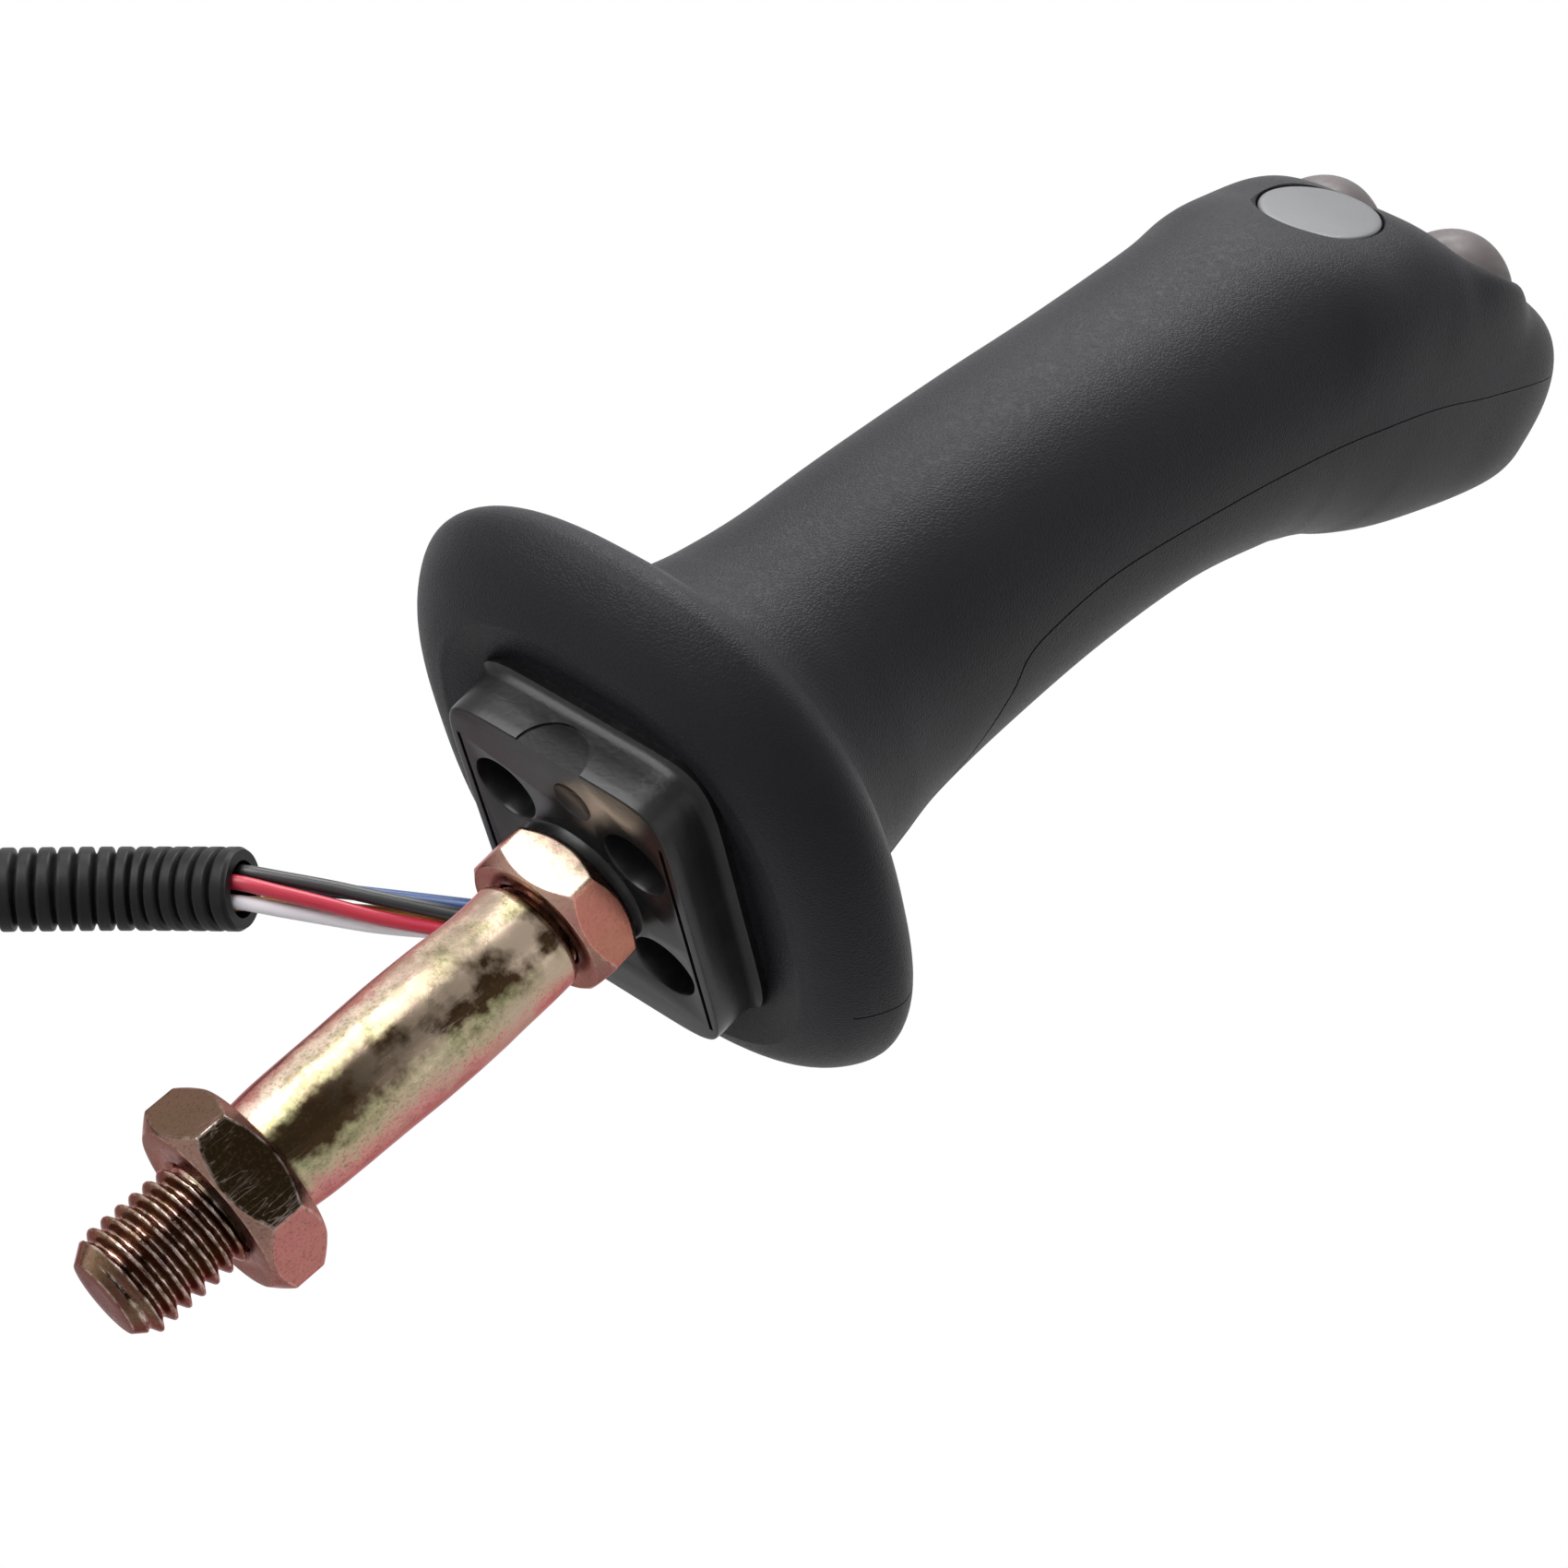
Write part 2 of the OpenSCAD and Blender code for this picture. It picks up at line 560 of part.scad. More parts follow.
// A bracket with a leaning shelf for each row of buttons, a fold between them,
// a round pad square to each button, and a spot face for each of its screws
module switch_carrier() in_part() color([0.3, 0.31, 0.33]) {
    half_w = 17;
    slot = [2.4, 3.2];
    low = shelf_top - carrier_t;
    difference() {
        union() {
            rotate([90, 0, 90]) translate([0, 0, -half_w]) linear_extrude(2 * half_w)
                polygon([beside(THUMB, -7, low), fold(THUMB, LEFT, low), beside(LEFT, 8, low),
                         beside(LEFT, 8, shelf_top), fold(THUMB, LEFT, shelf_top),
                         beside(THUMB, -7, shelf_top)]);
            for (b = [THUMB, LEFT, RIGHT]) at_button(b)
                translate([0, 0, shelf_top - 0.3]) cylinder(d = switch_d - 1, h = pad_t + 0.3);
        }
        for (b = [THUMB, LEFT, RIGHT]) at_button(b)
            for (x = [-2.5, 2.5])
                translate([x - slot[0] / 2, -slot[1] / 2, low - 2])
                    cube([slot[0], slot[1], carrier_t + pad_t + 3]);
        for (x = [-carrier_boss_x, carrier_boss_x]) at_button(THUMB) {
            translate([x, 0, low - 1]) cylinder(d = screw_d + 0.6, h = carrier_t + 2);
            translate([x, 0, low - 4]) cylinder(d = carrier_head_d + 0.4, h = 4);
        }
    }
}

// A pan head screw: the head from z = 0 up, the shank below it
module pan_screw(shank, length, head, tall) {
    difference() {
        union() {
            translate([0, 0, -length]) cylinder(d = shank, h = length + eps);
            rotate_extrude() polygon([[0, 0], [head / 2, 0], [head / 2, tall * 0.5],
                                      [head / 2 - tall * 0.5, tall], [0, tall]]);
        }
        for (a = [0, 90]) rotate(a)
            translate([-head * 0.3, -0.4, tall * 0.35]) cube([head * 0.6, 0.8, tall]);
    }
}

module carrier_screws() in_part() color([0.75, 0.76, 0.78])
    for (x = [-carrier_boss_x, carrier_boss_x])
        at_button(THUMB) translate([x, 0, shelf_top - carrier_t]) rotate([180, 0, 0])
            pan_screw(screw_d - 0.1, 9, carrier_head_d, 1.8);

module cover_screws() in_part() color([0.2, 0.2, 0.21])
    for (s = COVER_SCREWS) at_cover_screw(s)
        translate([0, 0, gd - 6]) pan_screw(screw_d - 0.1, gd - 6 + cover_screw_reach - 2, head_d, head_t);

module plate_screws() in_part() color([0.3, 0.3, 0.3])
    for (y = PLATE_SCREWS)
        translate([0, y, plate_t - plate_ledge]) rotate([180, 0, 0])
            pan_screw(plate_screw_d - 0.1, plate_ledge + plate_screw_l - 3, 6.6, 2.4);

// ---------------------------------------------------------------- harness

grommet_face = floor_z - 2;

module cable_grommet() in_part() color([0.03, 0.03, 0.03])
    translate([grommet_x, grommet_y, 0]) difference() {
        union() {
            translate([0, 0, floor_z - eps]) cylinder(d = grommet_d - 0.1, h = wall + 1);
            rotate_extrude() polygon([[0, grommet_face], [grommet_lip_d / 2 - 1, grommet_face],
                                      [grommet_lip_d / 2, grommet_face + 1],
                                      [grommet_lip_d / 2, floor_z], [0, floor_z]]);
        }
        translate([0, 0, floor_z + 0.5]) cylinder(d = 5.4, h = wall + 2);
    }

// The wires inside the grip, from the grommet up past the cover's bosses
INNER_ROUTE = [[-15.5, 20.5, 8.6], [-15.5, 20.5, 14], [-12.5, 15.5, 22], [-11.5, 12, 32], [-10.5, 8.5, 45],
               [-9.5, 8, 60], [-9.5, 12, 80], [-9.5, 16.5, 95], [-9, 22, 110], [-6, 27, 122],
               [0, 32, 131]];
inner_loom_d = 4.6;
module inner_loom() in_part() color([0.1, 0.1, 0.1])
    skin(tube_rings(INNER_ROUTE, inner_loom_d / 2, 8));

// The conduit, from its mouth out of the grip's side and down
CONDUIT_ROUTE = [[-44.8, 14.5, -18.4], [-54, 12.7, -26.2], [-63, 10.9, -34], [-72, 9.1, -42],
                 [-80.6, 7.5, -50.8], [-88.4, 6.2, -61], [-95, 5.2, -72.6], [-100, 4.6, -85.6],
                 [-103.4, 4.2, -100], [-105.2, 4, -115], [-106, 4, -131], [-106, 4, -148],
                 [-106, 4, -165], [-106, 4, -182], [-106, 4, -199], [-106, 4, -216],
                 [-106, 4, -233], [-106, 4, -250]];
mouth_way = unit(CONDUIT_ROUTE[1] - CONDUIT_ROUTE[0]);
mouth_r = 3.6;
mouth_run = 7;

// The middle of the five wires, from the grommet to the conduit's mouth
WIRE_ROUTE = [[-15.5, 20.5, 5.98], [-15.5, 20.5, 3], [-16.6, 20.1, -0.6], [-20.2, 19.3, -3.7],
              [-25, 18.4, -6.8], [-30, 17.4, -10], [-35, 16.4, -12.9], [-40, 15.42, -15.7],
              CONDUIT_ROUTE[0], CONDUIT_ROUTE[0] + 3 * mouth_way,
              CONDUIT_ROUTE[0] + (mouth_run - 0.02) * mouth_way];
// How far each wire lies from that middle line, and how it is turned round it
WIRE_SPREAD = [1.5, 1.5, 1.8, 2.2, 2.6, 2.8, 2.8, 2.7, 2.5, 2.3, 2.3];
WIRE_TURN = [0, 0, 16, 32, 48, 64, 80, 96, 110, 116, 116];

module wire(index) {
    route = [for (i = [0:len(WIRE_ROUTE) - 1])
        let (t = unit(WIRE_ROUTE[min(len(WIRE_ROUTE) - 1, i + 1)] - WIRE_ROUTE[max(0, i - 1)]),
             u = unit(cross([0, 1, 0], t)), v = cross(t, u), a = 72 * index + WIRE_TURN[i])
            WIRE_ROUTE[i] + WIRE_SPREAD[i] * (cos(a) * u + sin(a) * v)];
    skin(tube_rings(route, wire_d / 2, 8));
}
module wire_blue() in_part() color([0.1, 0.2, 0.45]) wire(0);
module wire_red() in_part() color([0.6, 0.06, 0.1]) wire(1);
module wire_black() in_part() color([0.05, 0.05, 0.05]) wire(2);
module wire_white() in_part() color([0.85, 0.84, 0.86]) wire(3);
module wire_yellow() in_part() color([0.9, 0.55, 0.12]) wire(4);

plug_x = -106;
plug_y = 4;
sleeve_top = -250;
sleeve_l = 18;
seal_l = 4;
plug_top = sleeve_top - sleeve_l - seal_l;

// The conduit's mouth is open as far down as mouth_run, where the wires end.
module conduit() in_part() color([0.04, 0.04, 0.04]) {
    bore = tube_rings([CONDUIT_ROUTE[0], CONDUIT_ROUTE[0] + mouth_run * mouth_way], mouth_r, 12);
    skin(concat([bore[1], bore[0]], tube_rings(CONDUIT_ROUTE, conduit_d / 2, 12)));
}

module at_plug(z) { translate([plug_x, plug_y, z]) children(); }

module conduit_sleeve() in_part() color([0.06, 0.06, 0.06])
    at_plug(sleeve_top) rotate_extrude() polygon([
        [0, 0], [conduit_d / 2, 0], [conduit_d / 2 + 0.6, -0.8], [conduit_d / 2 + 0.6, -6],
        [conduit_d / 2 - 0.6, -11], [conduit_d / 2 - 0.6, -sleeve_l], [0, -sleeve_l]]);

module round_block(w, t, h, corner) {
    linear_extrude(h) {
        for (i = [-1, 1], j = [-1, 1])
            translate([i * (w / 2 - corner), j * (t / 2 - corner)]) circle(r = corner);
        square([w - 2 * corner, t], center = true);
        square([w, t - 2 * corner], center = true);
    }
}

module connector_seal() in_part() color([0.75, 0.35, 0.12])
    at_plug(sleeve_top - sleeve_l - seal_l) round_block(plug_w - 4, plug_t - 4, seal_l, 2.5);

contact_rows = [-1, 1];
contact_columns = [-1, 0, 1];
contact_pitch = 5;
module at_contacts() {
    for (i = contact_columns, j = contact_rows)
        translate([i * contact_pitch, j * contact_pitch / 2, 0]) children();
}

module connector_housing() in_part() color([0.07, 0.07, 0.075])
    at_plug(plug_top - plug_l) difference() {
        union() {
            round_block(plug_w, plug_t, plug_l, 3);
            translate([0, 0, plug_l - 9]) round_block(plug_w + 3, plug_t + 3, 4, 3.5);
            for (i = [-1, 1])
                translate([i * plug_w / 2 - 1, -1.5, 2]) cube([2, 3, plug_l - 12]);
        }
        at_contacts() translate([0, 0, -1]) cylinder(d = 3, h = plug_l - 4);
        translate([-3.2, -plug_t / 2 - 1, 4]) cube([6.4, 2.4, plug_l - 10]);
    }

module connector_latch() in_part() color([0.09, 0.09, 0.1])
    at_plug(plug_top - plug_l) {
        translate([-3, -plug_t / 2 - 0.4, 4.2]) cube([6, 1.8, plug_l - 10.4]);
        translate([-3, -plug_t / 2 - 2, 6]) cube([6, 2, 3]);
    }

module connector_contacts() in_part() color([0.8, 0.8, 0.78])
    at_plug(plug_top - plug_l) at_contacts() translate([0, 0, 2]) difference() {
        cylinder(d = 2.9, h = plug_l - 7.1);
        translate([0, 0, -1]) cylinder(d = 1.6, h = 8);
    }

// ---------------------------------------------------------------- the part

grip_body();
finger_cover();
mounting_plate();
threaded_insert();
stem();
upper_nut();
lower_nut();
thumb_button();
thumb_plunger();
thumb_spring();
thumb_switch();
left_button();
left_plunger();
left_spring();
left_switch();
right_button();
right_plunger();
right_spring();
right_switch();
switch_carrier();
carrier_screws();
cover_screws();
plate_screws();
cable_grommet();
inner_loom();
wire_blue();
wire_red();
wire_black();
wire_white();
wire_yellow();
conduit();
conduit_sleeve();
connector_seal();
connector_housing();
connector_latch();
connector_contacts();
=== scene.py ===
"""Looks of a hand grip joystick for an excavator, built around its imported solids.

Shapes are drawn in millimetres in the part's drawing frame: z = 0 is the base
plate's lower face, +Y the finger side, -Y the thumb side and +Z up the grip.
Each piece is turned into metres in the part's frame when it is finished.
"""

import logging
import math
from collections.abc import Sequence
from dataclasses import dataclass, field
from enum import Enum

import bmesh
import bpy
import numpy as np
from mathutils import Matrix, Vector


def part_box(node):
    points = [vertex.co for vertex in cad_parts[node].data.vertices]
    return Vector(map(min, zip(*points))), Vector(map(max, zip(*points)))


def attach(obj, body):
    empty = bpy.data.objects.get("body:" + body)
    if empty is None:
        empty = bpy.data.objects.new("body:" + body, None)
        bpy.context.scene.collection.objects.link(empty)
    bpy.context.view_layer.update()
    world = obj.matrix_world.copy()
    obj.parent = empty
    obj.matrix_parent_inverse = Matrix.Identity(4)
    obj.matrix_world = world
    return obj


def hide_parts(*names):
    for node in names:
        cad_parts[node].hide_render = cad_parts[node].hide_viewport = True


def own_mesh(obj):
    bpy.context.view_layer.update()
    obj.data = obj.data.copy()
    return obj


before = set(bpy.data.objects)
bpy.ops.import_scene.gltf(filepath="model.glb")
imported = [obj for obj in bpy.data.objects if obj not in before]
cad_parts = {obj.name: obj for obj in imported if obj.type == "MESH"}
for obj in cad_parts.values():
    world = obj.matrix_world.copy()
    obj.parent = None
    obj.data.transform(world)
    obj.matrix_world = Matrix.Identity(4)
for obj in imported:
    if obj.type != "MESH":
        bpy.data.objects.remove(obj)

log = logging.getLogger("joystick")
Colour = tuple[float, float, float]
Stops = Sequence[tuple[float, Colour]]
Socket = bpy.types.NodeSocket
MM = 0.001

DUST: Colour = (0.32, 0.31, 0.3)
# Colour that darkens the metal below a given height.
LOWER_DARKENING: Colour = (0.3, 0.22, 0.15)
ZINC_END: Colour = (0.33, 0.19, 0.165)
ZINC_SPECK: Colour = (0.05, 0.033, 0.018)
ZINC_BRIGHT: Colour = (0.42, 0.33, 0.25)
# Pale zinc on the edge mask: wear and a painted edge highlight.
ZINC_WEAR_AND_HIGHLIGHT: Colour = (0.8, 0.66, 0.6)
RAINBOW: Stops = (
    (0.3, (1.0, 0.78, 0.74)),
    (0.45, (1.0, 0.93, 0.75)),
    (0.55, (0.85, 0.95, 0.68)),
    (0.7, (1.0, 0.74, 0.8)),
)


class Body(Enum):
    """The part's moving bodies."""

    GRIP = "grip"
    THUMB = "thumb_cap"
    LEFT = "left_cap"
    RIGHT = "right_cap"


class Cut(Enum):
    """How two closed forms are put together."""

    JOIN = "UNION"
    TAKE = "DIFFERENCE"
    KEEP = "INTERSECT"


# ---------------------------------------------------------------- numbers and points


def smooth_through(rows: np.ndarray, steps: int) -> np.ndarray:
    """Puts smooth rows between given rows.

    Args:
        rows: Rows of numbers, all kept.
        steps: Stretches that each gap is parted into.

    Returns:
        The rows with steps - 1 Catmull-Rom rows between each two neighbours.
    """
    rows = np.asarray(rows, float)
    last = len(rows) - 1
    out = []
    for i in range(last):
        a, b = rows[max(0, i - 1)], rows[i]
        c, d = rows[i + 1], rows[min(last, i + 2)]
        for k in range(steps):
            t = k / steps
            out.append(
                0.5
                * (
                    2 * b
                    + (c - a) * t
                    + (2 * a - 5 * b + 4 * c - d) * t * t
                    + (3 * b - a - 3 * c + d) * t**3
                )
            )
    out.append(rows[last])
    return np.array(out)


def eased(t: np.ndarray) -> np.ndarray:
    """Smooth step from 0 to 1."""
    c = np.clip(t, 0, 1)
    return c * c * (3 - 2 * c)


def soft_least(a: np.ndarray, b: np.ndarray, blend: float) -> np.ndarray:
    """The lesser of two arrays, rounded over where they meet.

    Args:
        a: First values.
        b: Second values.
        blend: Width of the rounding, in the values' unit.

    Returns:
        The rounded lesser values.
    """
    h = np.clip(0.5 + 0.5 * (b - a) / blend, 0, 1)
    return b + (a - b) * h - blend * h * (1 - h)


def even_loop(
    half_x: float, front: float, back: float, square: tuple[float, float], sides: int
) -> np.ndarray:
    """Outline of a superellipse with points at even spacing in each quarter.

    Args:
        half_x: Half width across X.
        front: Reach towards +Y.
        back: Reach towards -Y.
        square: Squareness in front and behind.
        sides: Number of points, a multiple of four.

    Returns:
        An array of sides rows of x and y, counter-clockwise from +X.
    """
    turn = (1 - np.cos(np.linspace(0, np.pi, 90))) / 2
    loop = []
    for quarter in range(4):
        a = (quarter + turn) * np.pi / 2
        ahead = quarter < 2
        power = 2 / (square[0] if ahead else square[1])
        x = half_x * np.sign(np.cos(a)) * np.abs(np.cos(a)) ** power
        y = (front if ahead else back) * np.sign(np.sin(a)) * np.abs(np.sin(a)) ** power
        run = np.concatenate([[0], np.cumsum(np.hypot(np.diff(x), np.diff(y)))])
        at = np.linspace(0, run[-1], sides // 4, endpoint=False)
        loop.append(np.stack([np.interp(at, run, x), np.interp(at, run, y)], 1))
    return np.concatenate(loop)


def level_ring(radius: np.ndarray | float, z: float, sides: int) -> np.ndarray:
    """A ring about Z at one height."""
    a = np.linspace(0, 2 * np.pi, sides, endpoint=False)
    return np.stack([radius * np.cos(a), radius * np.sin(a), np.full(sides, z)], 1)


def shift(x: float, y: float, z: float = 0) -> Matrix:
    """A move by three lengths."""
    return Matrix.Translation((x, y, z))


def spin(degrees: float, axis: str) -> Matrix:
    """A turn about an axis."""
    return Matrix.Rotation(math.radians(degrees), 4, axis)


# ---------------------------------------------------------------- forms


class Form:
    """A closed mesh in the drawing's millimetres."""

    def __init__(self, mesh: bpy.types.Mesh) -> None:
        """Keeps the mesh."""
        self.mesh = mesh

    @classmethod
    def of_faces(cls, points: np.ndarray, faces: Sequence[Sequence[int]]) -> "Form":
        """A form from its points and faces."""
        mesh = bpy.data.meshes.new("form")
        mesh.from_pydata([tuple(p) for p in points], [], [list(f) for f in faces])
        mesh.update()
        return cls(mesh)

    @classmethod
    def skinned(cls, rings: Sequence[np.ndarray]) -> "Form":
        """A form over a stack of rings.

        Args:
            rings: Rings of equal count. A first or last ring of one point closes the end to it.

        Returns:
            The closed form.
        """
        rings = [np.asarray(r, float).reshape(-1, 3) for r in rings]
        starts = np.cumsum([0] + [len(r) for r in rings])
        sides = max(len(r) for r in rings)
        faces: list[list[int]] = []
        for i in range(len(rings) - 1):
            low, high = starts[i], starts[i + 1]
            for j in range(sides):
                k = (j + 1) % sides
                if len(rings[i]) == 1:
                    faces.append([low, high + k, high + j])
                elif len(rings[i + 1]) == 1:
                    faces.append([low + j, low + k, high])
                else:
                    faces.append([low + j, low + k, high + k, high + j])
        if len(rings[0]) > 1:
            faces.append([starts[0] + j for j in range(sides - 1, -1, -1)])
        if len(rings[-1]) > 1:
            faces.append([starts[-2] + j for j in range(sides)])
        return cls.of_faces(np.concatenate(rings), faces)

    @classmethod
    def turned(cls, profile: Sequence[tuple[float, float]], sides: int = 96) -> "Form":
        """A form turned about Z.

        Args:
            profile: Radius and height, from the axis below, outward and up to the axis above.
            sides: Number of sides.

        Returns:
            The turned form.
        """
        on_axis = 1e-6
        return cls.skinned(
            [
                np.array([[0, 0, z]]) if r < on_axis else level_ring(r, z, sides)
                for r, z in profile
            ]
        )

    @classmethod
    def drum(cls, diameter: float, low: float, high: float, sides: int = 72) -> "Form":
        """A round cutter or post between two heights."""
        r = diameter / 2
        return cls.turned([(0, low), (r, low), (r, high), (0, high)], sides)

    @classmethod
    def block(cls, low: Sequence[float], high: Sequence[float]) -> "Form":
        """A box between two corners."""
        x, y = (low[0], high[0]), (low[1], high[1])
        loop = [(x[0], y[0]), (x[1], y[0]), (x[1], y[1]), (x[0], y[1])]
        return cls.skinned([np.array([(*p, z) for p in loop]) for z in (low[2], high[2])])

    def placed(self, matrix: Matrix) -> "Form":
        """Moves the form and returns it."""
        self.mesh.transform(matrix)
        if matrix.determinant() < 0:
            self.mesh.flip_normals()
        return self

    def with_form(self, other: "Form", how: Cut) -> "Form":
        """Joins, cuts or keeps what the other form covers.

        Args:
            other: The other closed form. It is used up.
            how: What to do with it.

        Returns:
            A new form.
        """
        pair = [bpy.data.objects.new("work", f.mesh) for f in (self, other)]
        for o in pair:
            bpy.context.scene.collection.objects.link(o)
        tool = pair[0].modifiers.new("cut", "BOOLEAN")
        tool.object, tool.operation, tool.solver = pair[1], how.value, "MANIFOLD"
        bpy.context.view_layer.update()
        graph = bpy.context.evaluated_depsgraph_get()
        made = bpy.data.meshes.new_from_object(pair[0].evaluated_get(graph))
        for o in pair:
            bpy.data.objects.remove(o)
        bpy.data.meshes.remove(other.mesh)
        bpy.data.meshes.remove(self.mesh)
        return Form(made)

    def joined(self, *others: "Form") -> "Form":
        """The form with others joined to it."""
        made = self
        for other in others:
            made = made.with_form(other, Cut.JOIN)
        return made

    def less(self, *others: "Form") -> "Form":
        """The form with others cut from it."""
        made = self
        for other in others:
            made = made.with_form(other, Cut.TAKE)
        return made


def tube_rings(route: np.ndarray, radius: np.ndarray | float, sides: int) -> list[np.ndarray]:
    """Rings of a tube that follows a route without twisting.

    Args:
        route: Points of the middle line.
        radius: One radius, or one for each point, or one for each point and side.
        sides: Number of sides.

    Returns:
        One ring for each point.
    """
    route = np.asarray(route, float)
    ways = np.gradient(route, axis=0)
    ways /= np.linalg.norm(ways, axis=1, keepdims=True)
    across = np.cross([0.0, 1.0, 0.0], ways[0])
    across /= np.linalg.norm(across)
    if np.ndim(radius) == 1:
        radius = np.asarray(radius, float).reshape(-1, 1)
    reach = np.broadcast_to(radius, (len(route), sides))
    a = np.linspace(0, 2 * np.pi, sides, endpoint=False)
    rings = []
    for point, way, r in zip(route, ways, reach):
        across = across - way * (across @ way)
        across /= np.linalg.norm(across)
        up = np.cross(way, across)
        outward = np.cos(a)[:, None] * across + np.sin(a)[:, None] * up
        rings.append(point + r[:, None] * outward)
    return rings


def runs(line: np.ndarray) -> np.ndarray:
    """How far along a line each of its points is."""
    return np.concatenate([[0], np.cumsum(np.linalg.norm(np.diff(line, axis=0), axis=1))])


def even_route(route: np.ndarray, spacing: float) -> np.ndarray:
    """Points at even spacing on a smooth line through the given ones."""
    line = smooth_through(route, 12)
    run = runs(line)
    at = np.linspace(0, run[-1], max(2, int(round(run[-1] / spacing)) + 1))
    return np.stack([np.interp(at, run, line[:, k]) for k in range(3)], 1)


@dataclass(frozen=True)
class Datum:
    """Where the drawing's origin stands in the row frame."""

    origin: Vector

    @classmethod
    def from_plate(cls, centre_y: float, thickness: float) -> "Datum":
        """Finds the drawing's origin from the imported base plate.

        Args:
            centre_y: Height of the plate's middle along the drawing's Y, in millimetres.
            thickness: The plate's thickness in millimetres.

        Returns:
            The datum.
        """
        low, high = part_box("mounting_plate")
        x, y = (low.x + high.x) / 2, (low.y + high.y) / 2
        return cls(Vector((x, y - centre_y * MM, high.z - thickness * MM)))

    def matrix(self) -> Matrix:
        """From the drawing's millimetres to metres in the row frame."""
        return Matrix.Translation(self.origin) @ Matrix.Scale(MM, 4)

    def points(self, route: np.ndarray) -> np.ndarray:
        """A route in metres in the row frame."""
        return np.asarray(route) * MM + np.array(self.origin)


def new_piece(name: str, mesh: bpy.types.Mesh, sharp_deg: float = 30) -> bpy.types.Object:
    """Makes a smooth shaded piece whose creases over a given angle stay sharp.

    Args:
        name: The piece's name.
        mesh: Its mesh in metres in the row frame.
        sharp_deg: Least angle of a sharp edge, in degrees.

    Returns:
        The new object.
    """
    least = 2e-6
    work = bmesh.new()
    work.from_mesh(mesh)
    bmesh.ops.remove_doubles(work, verts=work.verts, dist=least)
    bmesh.ops.dissolve_degenerate(work, edges=work.edges, dist=least)
    for face in work.faces:
        face.smooth = True
    limit = math.radians(sharp_deg)
    for edge in work.edges:
        edge.smooth = len(edge.link_faces) == 2 and edge.calc_face_angle(0) < limit
    work.to_mesh(mesh)
    work.free()
    mesh.name = name
    piece = bpy.data.objects.new(name, mesh)
    bpy.context.scene.collection.objects.link(piece)
    return piece


def finish_piece(
    piece: bpy.types.Object,
    material: bpy.types.Material,
    body: Body,
    slot: str,
    stands_for: Sequence[str] = (),
) -> bpy.types.Object:
    """Dresses a piece and puts it on its body.

    Args:
        piece: The piece, in place.
        material: Its finish.
        body: The body it moves with.
        slot: The record's material slot.
        stands_for: CAD nodes that it replaces.

    Returns:
        The same piece.
    """
    piece.data.materials.clear()
    piece.data.materials.append(material)
    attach(piece, body.value)
    if stands_for:
        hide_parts(*stands_for)
    log.info("%s rides on %s in %s", piece.name, body.value, slot)
    return piece


# ---------------------------------------------------------------- node helpers


def rgba(colour: Colour) -> tuple[float, float, float, float]:
    """The colour with full alpha."""
    return (*colour, 1.0)


def scaled(colour: Colour, factor: float) -> tuple[float, float, float, float]:
    """The colour made lighter or darker, with full alpha."""
    return rgba(tuple(min(1.0, c * factor) for c in colour))


